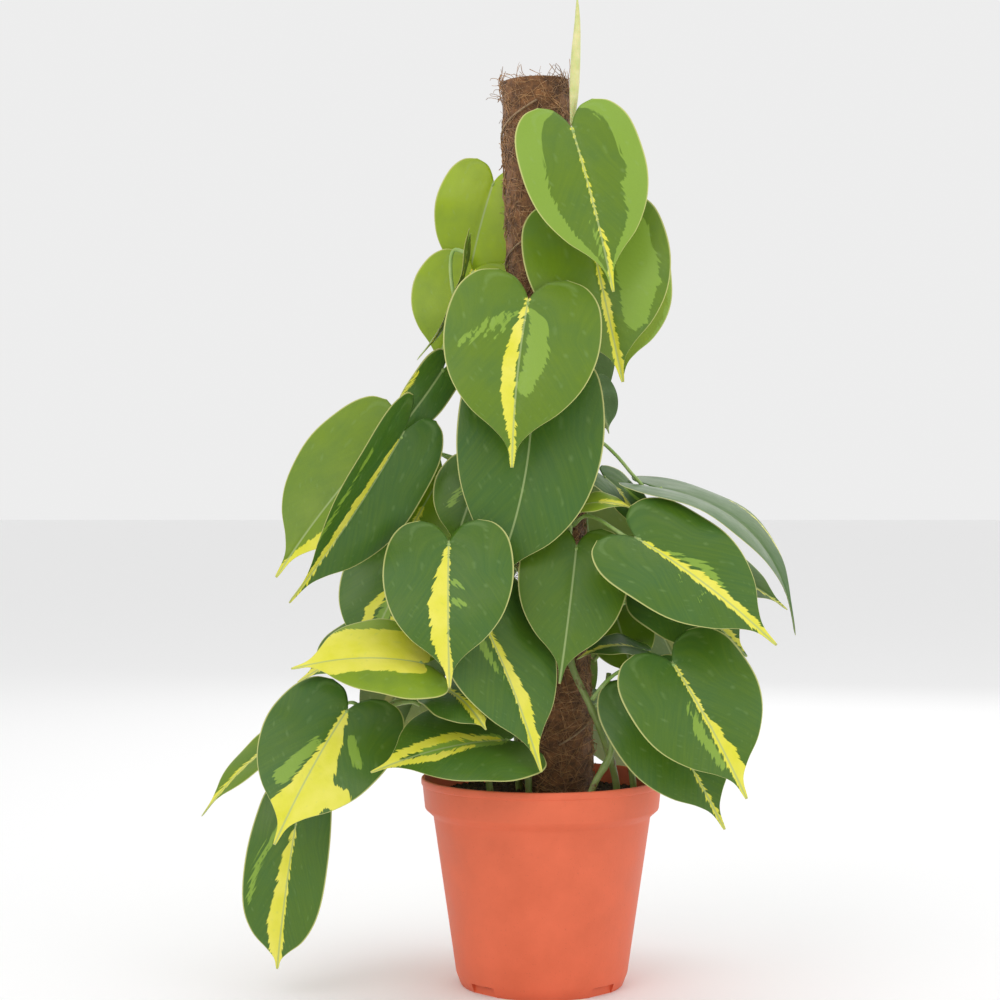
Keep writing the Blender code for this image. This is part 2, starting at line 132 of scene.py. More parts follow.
# One row a leaf. vine and along say where its stalk leaves the vine. base is where the stalk meets the
# blade and tip is the end of the drip tip. face is the way the upper side looks, as an angle round from
# the front and a height, in degrees. fold lifts the left and right halves. arch bows the midrib outwards
# and bend bows it to the side. approach is how far the stalk already points along the blade at its base.
# low narrows the lobes and moves the widest part of the blade towards its tip.
Leaf = namedtuple(
    "Leaf",
    "name vine along base tip face width arch bend fold cup twist wave approach lift low",
    defaults=[6, 0, (8, 8), -14, 0, 0.8, 0.3, 0.3, 0],
)
LEAVES = [
    Leaf("leaf_01", "vine_right", 395, (17, -46, 524), (41, -66, 423), (6, 12), 76),
    Leaf("leaf_02", "vine_front", 372, (28, -24, 468), (48, -42, 371), (-4, 6), 90, fold=(24, 12)),
    Leaf("leaf_03", "vine_right", 345, (52, 0, 456), (49, -12, 374), (18, 10), 60),
    Leaf("leaf_04", "vine_back_left", 345, (-30, 36, 504), (-48, 46, 431), (-12, 8), 66),
    Leaf("leaf_05", "vine_left", 336, (-43, 29, 446), (-67, 21, 382), (-6, 10), 66, fold=(4, 10)),
    Leaf("leaf_06", "vine_left", 262, (-46, -34, 452), (-76, -44, 384), (90, 20), 26, approach=0.6, lift=0.1),
    Leaf("leaf_07", "vine_front", 285, (-9, -54, 420), (-19, -76, 319), (0, 12), 93, bend=-2),
    Leaf("leaf_08", "vine_front", 240, (-7, -42, 371), (-34, -62, 242), (0, 12), 88, bend=8),
    Leaf("leaf_09", "vine_left", 205, (-94, -4, 342), (-162, -32, 253), (-15, 25), 80),
    Leaf("leaf_10", "vine_left", 255, (-60, -32, 380), (-98, -36, 330), (66, 44), 28),
    Leaf("leaf_11", "vine_left", 195, (-83, -64, 340), (-149, -82, 240), (40, 10), 68, fold=(45, 2)),
    Leaf("leaf_12", "vine_left", 175, (-62, 8, 316), (-100, -8, 242), (-10, 18), 78),
    Leaf("leaf_13", "vine_left", 140, (-79, -32, 262), (-110, -48, 197), (-10, 20), 72, lift=0.1),
    Leaf("leaf_14", "vine_front", 130, (-56, -78, 276), (-55, -102, 192), (-4, 20), 76, lift=0.6),
    Leaf("leaf_15", "vine_front", 100, (-43, -58, 242), (-2, -88, 142), (26, 20), 74),
    Leaf("leaf_16", "vine_right", 150, (20, -46, 273), (9, -72, 192), (4, 16), 66),
    Leaf("leaf_17", "vine_right", 190, (54, -68, 278), (134, -92, 216), (6, 35), 75, approach=0.8),
    Leaf("leaf_18", "vine_right", 240, (69, -20, 308), (153, -34, 218), (60, 62), 76, arch=24),
    Leaf("leaf_19", "vine_back_right", 140, (88, 2, 262), (152, -6, 232), (20, 60), 54),
    Leaf("leaf_20", "vine_right", 80, (75, -74, 205), (116, -98, 128), (4, 25), 79, approach=0.8),
    Leaf("leaf_21", "shoot_right", 70, (61, -44, 186), (107, -64, 105), (2, 20), 70),
    Leaf("leaf_22", "vine_back_right", 115, (72, -30, 250), (122, -48, 206), (10, 30), 66),
    Leaf("leaf_23", "vine_trailing", 85, (-70, -84, 205), (-146, -100, 203), (-8, 54), 72, lift=0.2),
    Leaf("leaf_24", "vine_trailing", 95, (-117, -48, 175), (-157, -88, 100), (-6, 30), 82),
    Leaf("leaf_25", "vine_trailing", 130, (-149, -12, 161), (-208, -26, 107), (-40, 40), 30),
    Leaf("leaf_26", "vine_trailing", 150, (-148, -30, 115), (-160, -44, 18), (-6, 8), 60, fold=(4, 30), low=0.14),
    Leaf("leaf_27", "vine_front", 70, (-60, -66, 189), (-34, -92, 167), (14, 36), 44, low=0.1),
    Leaf("leaf_28", "vine_front", 36, (-20, -62, 158), (-100, -104, 144), (-4, 50), 72),
    Leaf("leaf_29", "vine_left", 190, (-36, -36, 318), (-54, -42, 268), (-10, 16), 50),
    Leaf("leaf_30", "vine_back_right", 230, (32, 26, 373), (43, 22, 342), (170, 0), 26),
    Leaf("leaf_31", "vine_right", 215, (38, -11, 315), (66, -24, 268), (50, 20), 38),
    Leaf("leaf_32", "vine_right", 165, (14, -38, 293), (56, -48, 294), (0, 64), 28),
    Leaf("leaf_33", "vine_back_right", 95, (46, -8, 228), (56, -18, 188), (0, 14), 42),
    Leaf("leaf_34", "shoot_short", 86, (62, -34, 209), (20, -44, 204), (0, 72), 36),
    Leaf("leaf_35", "vine_left", 95, (-83, -12, 214), (-148, -40, 190), (-20, 50), 62, approach=0.6, lift=0.4),
    Leaf("leaf_36", "vine_back_left", 340, (2, 60, 468), (6, 88, 374), (180, 12), 76),
    Leaf("leaf_37", "vine_back_right", 300, (18, 44, 420), (16, 74, 325), (170, 12), 62),
    Leaf("leaf_38", "vine_back_left", 230, (-14, 46, 350), (-20, 78, 255), (190, 14), 66),
    Leaf("leaf_39", "vine_back_right", 190, (22, 44, 300), (32, 78, 212), (165, 16), 72),
    Leaf("leaf_40", "vine_back_left", 150, (-42, 42, 270), (-70, 74, 190), (205, 18), 76),
    Leaf("leaf_41", "vine_back_right", 120, (62, 34, 240), (98, 60, 160), (130, 24), 78),
    Leaf("leaf_42", "vine_back_left", 100, (-72, 37, 208), (-108, 45, 130), (228, 24), 76),
    Leaf("leaf_43", "vine_back_left", 80, (-6, 66, 205), (0, 104, 118), (180, 26), 86),
    Leaf("leaf_44", "vine_back_right", 60, (44, 62, 172), (72, 98, 100), (160, 26), 74),
    Leaf("leaf_45", "vine_back_left", 50, (-50, 56, 172), (-68, 92, 104), (205, 26), 68),
    Leaf("leaf_46", "vine_right", 370, (34, 22, 516), (50, 46, 440), (168, 14), 56),
]

# How each leaf is coloured. young runs from 0, an old dark leaf, to 1, a fresh lime one. yellow and lime
# are strokes, each a list of (across in half widths, along in blade lengths, half width in mm).
# edge is the width of a lime band along the margin, in mm.
Paint = namedtuple("Paint", "young yellow lime edge", defaults=[(), (), 0])
PAINTS = {
    "leaf_01": Paint(
        0.3,
        [[(0, 0, 0.7), (0, 0.55, 0.9), (0.05, 0.8, 1.3), (0, 1, 1.6)]],
        [[(0.58, 0.42, 3), (0.6, 0.56, 4)], [(-0.1, 0.6, 1), (-0.06, 0.8, 1)]],
        12,
    ),
    "leaf_02": Paint(
        0.35,
        [[(0, 0.1, 1), (0, 0.5, 2.4), (0, 0.9, 3.2), (0, 1, 2)]],
        [[(0.5, 0.12, 12), (0.52, 0.4, 13), (0.35, 0.65, 7)]],
    ),
    "leaf_03": Paint(0.75, edge=3),
    "leaf_04": Paint(1),
    "leaf_05": Paint(0.9, [[(0, 0, 1.5), (0, 0.4, 0.8)]]),
    "leaf_06": Paint(0.3, [[(0, 0, 0.8), (0, 1, 0.8)]]),
    "leaf_07": Paint(
        0.32,
        [[(0, 0, 1.5), (-0.07, 0.2, 2.6), (-0.12, 0.4, 4.2), (-0.1, 0.6, 4), (0, 0.85, 2.4), (0, 1, 1.5)]],
        [
            [(0.05, 0.08, 2), (0.2, 0.16, 5), (0.22, 0.36, 7), (0.1, 0.55, 5)],
            [(0, 0.07, 1.5), (-0.4, 0.18, 2.8), (-0.76, 0.33, 2)],
            [(-0.2, 0.2, 1.5), (-0.42, 0.3, 1)],
        ],
    ),
    "leaf_08": Paint(0.1),
    "leaf_09": Paint(0.5, [[(0.6, 0.3, 3), (0.5, 0.6, 7), (0.2, 0.85, 7), (0, 1, 4)]]),
    "leaf_10": Paint(0.1, [[(-0.9, 0.2, 1), (-0.8, 0.6, 1), (0, 1, 2)]]),
    "leaf_11": Paint(
        0.08,
        [[(-0.05, 0.03, 1), (-0.12, 0.2, 3), (-0.15, 0.45, 4.5), (-0.1, 0.7, 4), (0, 1, 2)]],
        [[(-0.75, 0.2, 1.5), (-0.6, 0.7, 1.5)]],
    ),
    "leaf_12": Paint(0.65, [[(0, 0.3, 1.5), (0.05, 0.7, 4), (0, 1, 4)]]),
    "leaf_13": Paint(
        0.12,
        [
            [(-0.05, 0.22, 1.5), (-0.25, 0.5, 3), (-0.1, 0.85, 3.5), (0, 1, 2)],
            [(0.08, 0.25, 1.2), (0.22, 0.55, 2.5), (0.05, 0.9, 2.5)],
        ],
        [[(0, 0.4, 4), (0, 0.7, 4)]],
    ),
    "leaf_14": Paint(
        0.12,
        [[(0, 0.03, 0.8), (-0.08, 0.22, 4), (-0.14, 0.45, 6), (-0.12, 0.7, 5), (0, 0.88, 2.5), (0, 1, 1.6)]],
        [[(0.08, 0.3, 2), (0.26, 0.34, 1)], [(0.08, 0.43, 2), (0.24, 0.46, 1)]],
    ),
    "leaf_15": Paint(
        0.12,
        [[(0, 0.05, 1), (0.03, 0.4, 2.4), (0.08, 0.6, 4), (0.03, 0.85, 3.4), (0, 1, 2)]],
        [[(-0.08, 0.1, 1.5), (-0.22, 0.3, 2.5), (-0.12, 0.48, 1.5)]],
    ),
    "leaf_16": Paint(0.2),
    "leaf_17": Paint(
        0.12,
        [[(0, 0.02, 1), (0, 0.2, 2), (0.03, 0.5, 4), (0, 0.8, 3.2), (0, 1, 2)]],
        [
            [(0.08, 0.2, 1.5), (0.22, 0.42, 3), (0.1, 0.6, 1.5)],
            [(-0.12, 0.33, 1), (-0.28, 0.37, 1)],
            [(-0.12, 0.5, 1.5), (-0.32, 0.53, 1)],
        ],
    ),
    "leaf_18": Paint(0.08, [[(0.85, 0.3, 1), (0.6, 0.7, 1.5)]]),
    "leaf_20": Paint(
        0.14,
        [[(0, 0.03, 1), (0, 0.4, 1.6), (0.06, 0.7, 4.5), (0.08, 0.88, 5), (0, 1, 2)]],
        [[(-0.12, 0.3, 1.5), (-0.2, 0.5, 3), (-0.12, 0.75, 2)]],
    ),
    "leaf_21": Paint(0.12, [[(0, 0.5, 0.8), (0, 1, 1.6)]]),
    "leaf_22": Paint(0.15, [[(0, 0.5, 1), (0.1, 1, 2)]]),
    "leaf_23": Paint(
        0.7,
        [[(-0.3, 0.1, 14), (-0.25, 0.5, 17), (0, 0.85, 12), (0, 1, 6)], [(0.15, 0.1, 8), (0.15, 0.7, 9)]],
    ),
    "leaf_24": Paint(
        0.12,
        [
            [(0, 0.03, 2), (0.1, 0.3, 6), (0.15, 0.6, 13), (0.05, 0.8, 15), (0, 1, 5)],
            [(0.2, 0.6, 8), (0.6, 0.6, 7)],
        ],
        [[(-0.12, 0.3, 3), (-0.35, 0.6, 5)], [(0.3, 0.2, 2), (0.6, 0.35, 3)]],
    ),
    "leaf_25": Paint(0.4, [[(0, 0.1, 1), (0, 1, 2)]]),
    "leaf_26": Paint(
        0.14,
        [[(0, 0.12, 1), (-0.08, 0.4, 3.5), (-0.1, 0.75, 5.5), (0, 1, 3)]],
        [[(-0.3, 0.15, 1.5), (-0.68, 0.42, 2), (-0.72, 0.62, 1.5)]],
    ),
    "leaf_27": Paint(0.12, [[(0, 0.1, 1), (0, 0.6, 3), (0, 1, 4)]]),
    "leaf_28": Paint(
        0.14,
        [
            [(0, 0.08, 1.5), (-0.2, 0.4, 3), (-0.1, 0.85, 3), (0, 1, 2)],
            [(0.1, 0.3, 1.5), (0.18, 0.6, 3), (0, 0.9, 2.5)],
        ],
        [[(0, 0.1, 5), (0, 0.6, 6)]],
    ),
    "leaf_30": Paint(0.1, edge=2),
    "leaf_32": Paint(0.8, [[(0, 0.55, 3), (0, 1, 3)]]),
    "leaf_33": Paint(0.4),
}
HIDDEN_LEAF_SEED = 11


# Curves


def smooth_value(points, share):
    """A point at share (0 to 1) of a Catmull-Rom curve through points."""
    spans = len(points) - 1
    place = min(max(share, 0), 1) * spans
    i = min(int(place), spans - 1)
    t = place - i
    p1, p2 = Vector(points[i]), Vector(points[i + 1])
    p0 = Vector(points[i - 1]) if i else 2 * p1 - p2
    p3 = Vector(points[i + 2]) if i + 2 <= spans else 2 * p2 - p1
    return 0.5 * (
        2 * p1 + (p2 - p0) * t + (2 * p0 - 5 * p1 + 4 * p2 - p3) * t**2 + (3 * p1 - p0 - 3 * p2 + p3) * t**3
    )


def bezier(p0, p1, p2, p3, t):
    s = 1 - t
    return p0 * s**3 + 3 * p1 * s * s * t + 3 * p2 * s * t * t + p3 * t**3


def bezier_slope(p0, p1, p2, p3, t):
    s = 1 - t
    return (p1 - p0) * s * s + 2 * (p2 - p1) * s * t + (p3 - p2) * t * t


def pole_point(height, angle, radius):
    """A point at a height, beside the leaning pole, at an angle round from the front, all in mm and degrees."""
    share = (height * MM - POLE_FOOT.z) / (POLE_TOP.z - POLE_FOOT.z)
    centre = POLE_FOOT.lerp(POLE_TOP, share)
    turn = math.radians(angle)
    return centre + Vector((math.sin(turn), -math.cos(turn), 0)) * radius * MM


def vine_lines():
    """Each vine's centre line, from its foot in the soil to its end."""
    lines = {}
    for climber in CLIMBERS:
        points = []
        for i in range(61):
            height, angle = smooth_value([(*turn, 0) for turn in climber.turns], i / 60)[:2]
            points.append(pole_point(height, angle, CLIMB_RADIUS))
        lines[climber.name] = points
    for name, points in SPRAWLERS.items():
        lines[name] = [smooth_value(points, i / 60) * MM for i in range(61)]
    return lines


def point_along(line, distance):
    """The point that far along a vine, in millimetres from its foot, and the vine's direction there."""
    left = distance * MM
    for a, b in zip(line, line[1:]):
        length = (b - a).length
        if length >= left:
            return a.lerp(b, left / length), (b - a).normalized()
        left -= length
    return line[-1], (line[-1] - line[-2]).normalized()


class Blade:
    """The curved middle surface of one leaf blade."""

    def __init__(self, leaf):
        self.leaf = leaf
        self.base, self.tip = Vector(leaf.base) * MM, Vector(leaf.tip) * MM
        chord = self.tip - self.base
        round_angle, height = (math.radians(a) for a in leaf.face)
        face = Vector(
            (
                math.sin(round_angle) * math.cos(height),
                -math.cos(round_angle) * math.cos(height),
                math.sin(height),
            )
        )
        self.normal = (face - chord * face.dot(chord) / chord.length_squared).normalized()
        side = self.normal.cross(chord.normalized())
        bow = (self.normal * leaf.arch + side * leaf.bend) * MM / 0.75
        self.handles = (self.base, self.base + chord / 3 + bow, self.tip - chord / 3 + bow, self.tip)
        self.length = chord.length

    def frame(self, along):
        """The midrib's point, and the blade's length, side and upward directions there."""
        t = max(along, 0)
        point = bezier(*self.handles, t)
        forward = bezier_slope(*self.handles, t).normalized()
        if along < 0:
            point = point + forward * along * self.length
        up = (self.normal - forward * self.normal.dot(forward)).normalized()
        up = Matrix.Rotation(math.radians(self.leaf.twist * t), 3, forward) @ up
        return point, forward, up.cross(forward), up

    def point(self, across, along):
        """A point of the surface and its place on the flat blade, across from -1 to 1 and along from 0 (the notch side) to 1 (the tip)."""
        share = abs(across)
        margin = smooth_value([(*p, 0) for p in MARGIN], along)
        reach = min(max(margin.y, 0), 1)
        margin.x *= 1 - self.leaf.low * (1 - reach) ** 2
        margin.y += 4 * self.leaf.low * reach * (1 - reach)
        sinus = smooth_value([(*p, 0) for p in SINUS], share)
        lobe = (sinus - Vector((*MARGIN[0], 0)) * share) * (1 - along) ** 3
        flat_across = margin.x * share + lobe.x
        flat_along = along * (1 - share) + margin.y * share + lobe.y
        point, _, side, up = self.frame(flat_along)
        leaf = self.leaf
        out = flat_across * leaf.width / 2 * MM
        rise = math.radians(leaf.fold[across > 0] + leaf.cup * flat_across / 2)
        ripple = leaf.wave * MM * math.sin(14 * flat_along + 2 * across) * flat_across**2
        place = (
            point
            + side * math.copysign(out * math.cos(rise), across)
            + up * (out * math.sin(rise) + ripple)
        )
        return place, math.copysign(flat_across, across), flat_along


def petiole_line(leaf, blade):
    """The leaf's stalk, from just off the vine to just inside the blade."""
    start, vine_direction = point_along(VINE_LINES[leaf.vine], leaf.along)
    end, forward, _, up = blade.frame(0.03)
    outward = end - start
    outward = outward - vine_direction * outward.dot(vine_direction)
    height = start.z / MM
    from_pole = start - pole_point(height, 0, 0)
    from_pole.z = 0
    if from_pole.length < (CLIMB_RADIUS + 6) * MM:
        outward = outward.normalized() + from_pole.normalized() * 0.9
    outward.normalize()
    start = start + outward * (VINE_RADIUS + 1.1) * MM
    reach = (end - start).length
    arrive = (up * 0.8 + forward * leaf.approach).normalized()
    rise = Vector((0, 0, 1)) * leaf.lift
    first = start + (outward * 0.3 + rise) * reach
    second = end - arrive * 0.35 * reach
    count = max(5, round(reach / 0.014))
    return [bezier(start, first, second, end, i / count) for i in range(count + 1)]




# Scene helpers


def add_node(tree, kind, inputs=None, **settings):
    """A node with its settings, and with values or links on its inputs, by name or number."""
    node = tree.nodes.new(kind)
    for key, value in settings.items():
        setattr(node, key, value)
    for key, value in (inputs or {}).items():
        if isinstance(value, bpy.types.NodeSocket):
            tree.links.new(value, node.inputs[key])
        else:
            node.inputs[key].default_value = value
    return node


def new_finish(name, roughness, **shader_values):
    """A material with its Principled shader, ready for nodes."""
    made = bpy.data.materials.new(name)
    made.use_nodes = True
    shader = made.node_tree.nodes["Principled BSDF"]
    shader.inputs["Roughness"].default_value = roughness
    for key, value in shader_values.items():
        shader.inputs[key.replace("_", " ")].default_value = value
    return made, made.node_tree, shader


def noise(tree, vector, scale, detail=3, roughness=0.55):
    made = add_node(tree, "ShaderNodeTexNoise", {"Vector": vector, "Scale": scale, "Detail": detail})
    made.inputs["Roughness"].default_value = roughness
    return made.outputs[0]


def math_node(tree, operation, a, b=0.5):
    return add_node(tree, "ShaderNodeMath", {0: a, 1: b}, operation=operation).outputs[0]


def ranged(tree, value, low, high, to_low=0, to_high=1):
    inputs = {"Value": value, "From Min": low, "From Max": high, "To Min": to_low, "To Max": to_high}
    return add_node(tree, "ShaderNodeMapRange", inputs).outputs[0]


def mixed(tree, share, first, second):
    """A blend of two colours, each a value or a socket."""
    first = first if isinstance(first, bpy.types.NodeSocket) else (*first, 1)
    second = second if isinstance(second, bpy.types.NodeSocket) else (*second, 1)
    node = add_node(tree, "ShaderNodeMix", {0: share, 6: first, 7: second}, data_type="RGBA")
    return node.outputs[2]


def bump(tree, height, distance, strength=1.0):
    inputs = {"Height": height, "Distance": distance, "Strength": strength}
    return add_node(tree, "ShaderNodeBump", inputs).outputs[0]


def object_space(tree):
    return add_node(tree, "ShaderNodeTexCoord").outputs["Object"]


def attribute(tree, name):
    return add_node(tree, "ShaderNodeAttribute", attribute_name=name).outputs["Fac"]


def add_piece(name, mesh, slot, *replaced, materials=()):
    """Puts a finished mesh in the scene as a piece that rides on the plant."""
    piece = bpy.data.objects.new(name, mesh)
    bpy.context.scene.collection.objects.link(piece)
    for each in materials:
        mesh.materials.append(each)
    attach(piece, "root")
    if replaced:
        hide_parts(*replaced)
    return piece


def evaluated_mesh(obj):
    """The object's mesh with its modifiers applied. The object is removed."""
    graph = bpy.context.evaluated_depsgraph_get()
    mesh = bpy.data.meshes.new_from_object(obj.evaluated_get(graph))
    bpy.data.objects.remove(obj)
    return mesh


def working_object(name, data):
    obj = bpy.data.objects.new(name, data)
    bpy.context.scene.collection.objects.link(obj)
    return obj


def ring_tube(points, radii, sides, squash=1.0):
    """Vertices and faces of a closed round bar along points, with a radius at each point."""
    vertices, faces = [], []
    points = [Vector(p) for p in points]
    side = Vector((0.3, 1, 0.2))
    for i, point in enumerate(points):
        along = (points[min(i + 1, len(points) - 1)] - points[max(i - 1, 0)]).normalized()
        side = (side - along * side.dot(along)).normalized()
        other = along.cross(side)
        for k in range(sides):
            turn = math.tau * k / sides
            vertices.append(point + (side * math.cos(turn) + other * math.sin(turn) * squash) * radii[i])
    for i in range(len(points) - 1):
        for k in range(sides):
            a, b = i * sides + k, i * sides + (k + 1) % sides
            faces.append((a, b, b + sides, a + sides))
    faces.append(tuple(reversed(range(sides))))
    faces.append(tuple(range(len(vertices) - sides, len(vertices))))
    return vertices, faces


def joined_mesh(name, shapes):
    """One mesh from several lists of vertices and faces, smooth shaded."""
    vertices, faces = [], []
    for more_vertices, more_faces in shapes:
        start = len(vertices)
        vertices += more_vertices
        faces += [tuple(start + i for i in face) for face in more_faces]
    mesh = bpy.data.meshes.new(name)
    mesh.from_pydata(vertices, [], faces)
    mesh.shade_smooth()
    return mesh


# Finishes


def plastic_finish(colour):
    made, tree, shader = new_finish("Terracotta plastic", 0.5, Specular_IOR_Level=0.4)
    space = object_space(tree)
    mottle = noise(tree, space, 35, 5)
    speck = ranged(tree, noise(tree, space, 900, 2), 0.66, 0.74)
    faded = tuple(min(1, c * 1.12 + 0.01) for c in colour)
    base = mixed(tree, ranged(tree, mottle, 0.3, 0.7), colour, faded)
    base = mixed(tree, math_node(tree, "MULTIPLY", speck, 0.25), base, (0.3, 0.06, 0.03))
    tree.links.new(base, shader.inputs["Base Color"])
    tree.links.new(ranged(tree, mottle, 0.3, 0.7, 0.42, 0.58), shader.inputs["Roughness"])
    grain = math_node(tree, "ADD", noise(tree, space, 1400, 2), noise(tree, space, 260, 2))
    tree.links.new(bump(tree, grain, 0.00008), shader.inputs["Normal"])
    return made


def soil_finish():
    made, tree, shader = new_finish("Moist soil", 0.92)
    space = object_space(tree)
    clods = noise(tree, space, 160, 8, 0.7)
    base = mixed(tree, ranged(tree, clods, 0.35, 0.65), (0.012, 0.007, 0.004), (0.075, 0.036, 0.016))
    tree.links.new(base, shader.inputs["Base Color"])
    tree.links.new(bump(tree, clods, 0.002), shader.inputs["Normal"])
    return made


def coir_finish(name, dark, light):
    made, tree, shader = new_finish(name, 0.85, Sheen_Weight=0.2)
    space = object_space(tree)
    strands = noise(tree, space, 220, 6, 0.7)
    patches = noise(tree, space, 45, 3)
    base = mixed(tree, ranged(tree, strands, 0.3, 0.68), dark, light)
    base = mixed(tree, ranged(tree, patches, 0.52, 0.72, 0, 0.7), base, dark)
    tree.links.new(base, shader.inputs["Base Color"])
    tree.links.new(bump(tree, strands, 0.0012), shader.inputs["Normal"])
    return made


def stem_finish(name, green, pale, brown_share=0.0):
    made, tree, shader = new_finish(name, 0.42, Subsurface_Weight=0.08, Subsurface_Scale=0.002)
    space = object_space(tree)
    base = mixed(tree, ranged(tree, noise(tree, space, 60, 4), 0.35, 0.7), green, pale)
    if brown_share:
        scars = ranged(tree, noise(tree, space, 110, 4), 0.72 - brown_share, 0.8 - brown_share)
        base = mixed(tree, scars, base, (0.16, 0.07, 0.03))
    tree.links.new(base, shader.inputs["Base Color"])
    tree.links.new(bump(tree, noise(tree, space, 500, 3), 0.0001), shader.inputs["Normal"])
    return made


def leaf_finish(settings):
    """The upper side: green by age, with patches of painted sheen, and strokes of lime and yellow that end in teeth
    along the veins.
    """
    made, tree, shader = new_finish("Leaf upper side", 0.36, Specular_IOR_Level=0.35)
    veins = add_node(tree, "ShaderNodeUVMap", uv_map="veins").outputs[0]
    space = object_space(tree)
    fine, broad = noise(tree, veins, 2.2, 4, 0.6), noise(tree, space, 38, 3)
    young = attribute(tree, "young")
    dark, fresh = tuple(settings.dark_green), tuple(settings.fresh_green)
    base = mixed(tree, young, dark, fresh)
    # Painted sheen: patches of the broad noise turn towards blue-green, painted in for the soft reflection of the
    # lamps on the satin upper side.
    base = mixed(tree, ranged(tree, broad, 0.4, 0.75, 0, 0.35), base, (0.035, 0.13, 0.045))
    base = mixed(tree, ranged(tree, fine, 0.4, 0.8, 0, 0.1), base, fresh)
    tooth = ranged(tree, fine, 0.25, 0.75, -2.4, 2.4)
    lime = math_node(tree, "ADD", attribute(tree, "lime"), tooth)
    base = mixed(tree, ranged(tree, lime, -0.3, 0.3, 0, 0.8), base, tuple(settings.lime))
    yellow = math_node(tree, "ADD", attribute(tree, "yellow"), math_node(tree, "MULTIPLY", tooth, 0.75))
    bright = mixed(tree, ranged(tree, broad, 0.35, 0.7), tuple(settings.yellow), (0.86, 0.8, 0.13))
    base = mixed(tree, ranged(tree, yellow, -0.2, 0.25), base, bright)
    vein = attribute(tree, "vein")
    base = mixed(tree, ranged(tree, vein, 0.35, 1, 0, 0.22), base, (0.3, 0.45, 0.16))
    base = mixed(tree, ranged(tree, attribute(tree, "midrib"), 0.8, 0.3, 0, 0.7), base, (0.4, 0.5, 0.2))
    base = mixed(tree, ranged(tree, attribute(tree, "margin"), 0.9, 0.35, 0, 0.85), base, (0.62, 0.62, 0.22))
    tree.links.new(base, shader.inputs["Base Color"])
    tree.links.new(ranged(tree, broad, 0.3, 0.7, 0.32, 0.46), shader.inputs["Roughness"])
    tree.links.new(bump(tree, noise(tree, space, 420, 3), 0.00012), shader.inputs["Normal"])
    return made


def underside_finish():
    made, tree, shader = new_finish("Leaf underside", 0.6)
    space = object_space(tree)
    young = attribute(tree, "young")
    base = mixed(tree, young, (0.13, 0.24, 0.1), (0.36, 0.46, 0.06))
    base = mixed(tree, ranged(tree, noise(tree, space, 45, 4), 0.4, 0.7, 0, 0.5), base, (0.2, 0.33, 0.15))
    base = mixed(tree, ranged(tree, attribute(tree, "yellow"), -0.5, 0.8, 0, 0.7), base, (0.6, 0.62, 0.2))
    base = mixed(tree, ranged(tree, attribute(tree, "vein"), 0.3, 1, 0, 0.4), base, (0.42, 0.52, 0.26))
    base = mixed(tree, ranged(tree, attribute(tree, "midrib"), 1.3, 0.5), base, (0.45, 0.55, 0.25))
    tree.links.new(base, shader.inputs["Base Color"])
    tree.links.new(bump(tree, noise(tree, space, 600, 2), 0.0001), shader.inputs["Normal"])
    return made


# The pot and the soil


def turned_object(name, profile, steps):
    """An object turned about Z from points (radius, height) in millimetres, outer side running down."""
    mesh = bpy.data.meshes.new(name)
    points = [Vector((radius, 0, height)) * MM for radius, height in profile]
    mesh.from_pydata(points, [(i, i + 1) for i in range(len(points) - 1)], [])
    obj = working_object(name, mesh)
    screw = obj.modifiers.new("Turn", "SCREW")
    screw.steps = screw.render_steps = steps
    screw.use_merge_vertices = True
    screw.merge_threshold = 0.00005
    return obj


def pot_profile():
    """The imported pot's outline, with rounder edges on the rim, the collar and the foot."""
    inner_shoulder = SHOULDER_RADIUS - WALL
    return [
        (0, FLOOR_THICKNESS),
        (FOOT_RADIUS - 5, FLOOR_THICKNESS),
        (FOOT_RADIUS - 2.4, FLOOR_THICKNESS + 3),
        (inner_shoulder, BAND_BOTTOM - 5),
        (BAND_RADIUS - WALL, BAND_BOTTOM + 1),
        (RIM_RADIUS - 2.6, POT_HEIGHT - 1.5),
        (RIM_RADIUS - 2.4, POT_HEIGHT - 0.5),
        (RIM_RADIUS - 1.9, POT_HEIGHT),
        (RIM_RADIUS - 0.7, POT_HEIGHT),
        (RIM_RADIUS - 0.2, POT_HEIGHT - 0.4),
        (RIM_RADIUS, POT_HEIGHT - 1.1),
        (RIM_RADIUS - 0.1, POT_HEIGHT - 3.7),
        (RIM_RADIUS - 0.4, POT_HEIGHT - 4.2),
        (RIM_RADIUS - 0.9, POT_HEIGHT - 4.6),
        (BAND_RADIUS + 0.1, BAND_BOTTOM + 0.8),
        (BAND_RADIUS - 0.3, BAND_BOTTOM - 0.2),
        (SHOULDER_RADIUS + 0.9, BAND_BOTTOM - 4),
        (SHOULDER_RADIUS + 0.2, BAND_BOTTOM - 4.9),
        (SHOULDER_RADIUS, BAND_BOTTOM - 6.2),
        (FOOT_RADIUS + 0.1, 8),
        (FOOT_RADIUS - 0.4, 6.4),
        (FOOT_RADIUS - 2.7, 0.6),
        (FOOT_RADIUS - 3.4, 0),
        (FOOT_RADIUS - 7, 0),
        (FOOT_RADIUS - 8, 1.6),
        (30, 1.6),
        (29, 0),
        (0, 0),
    ]


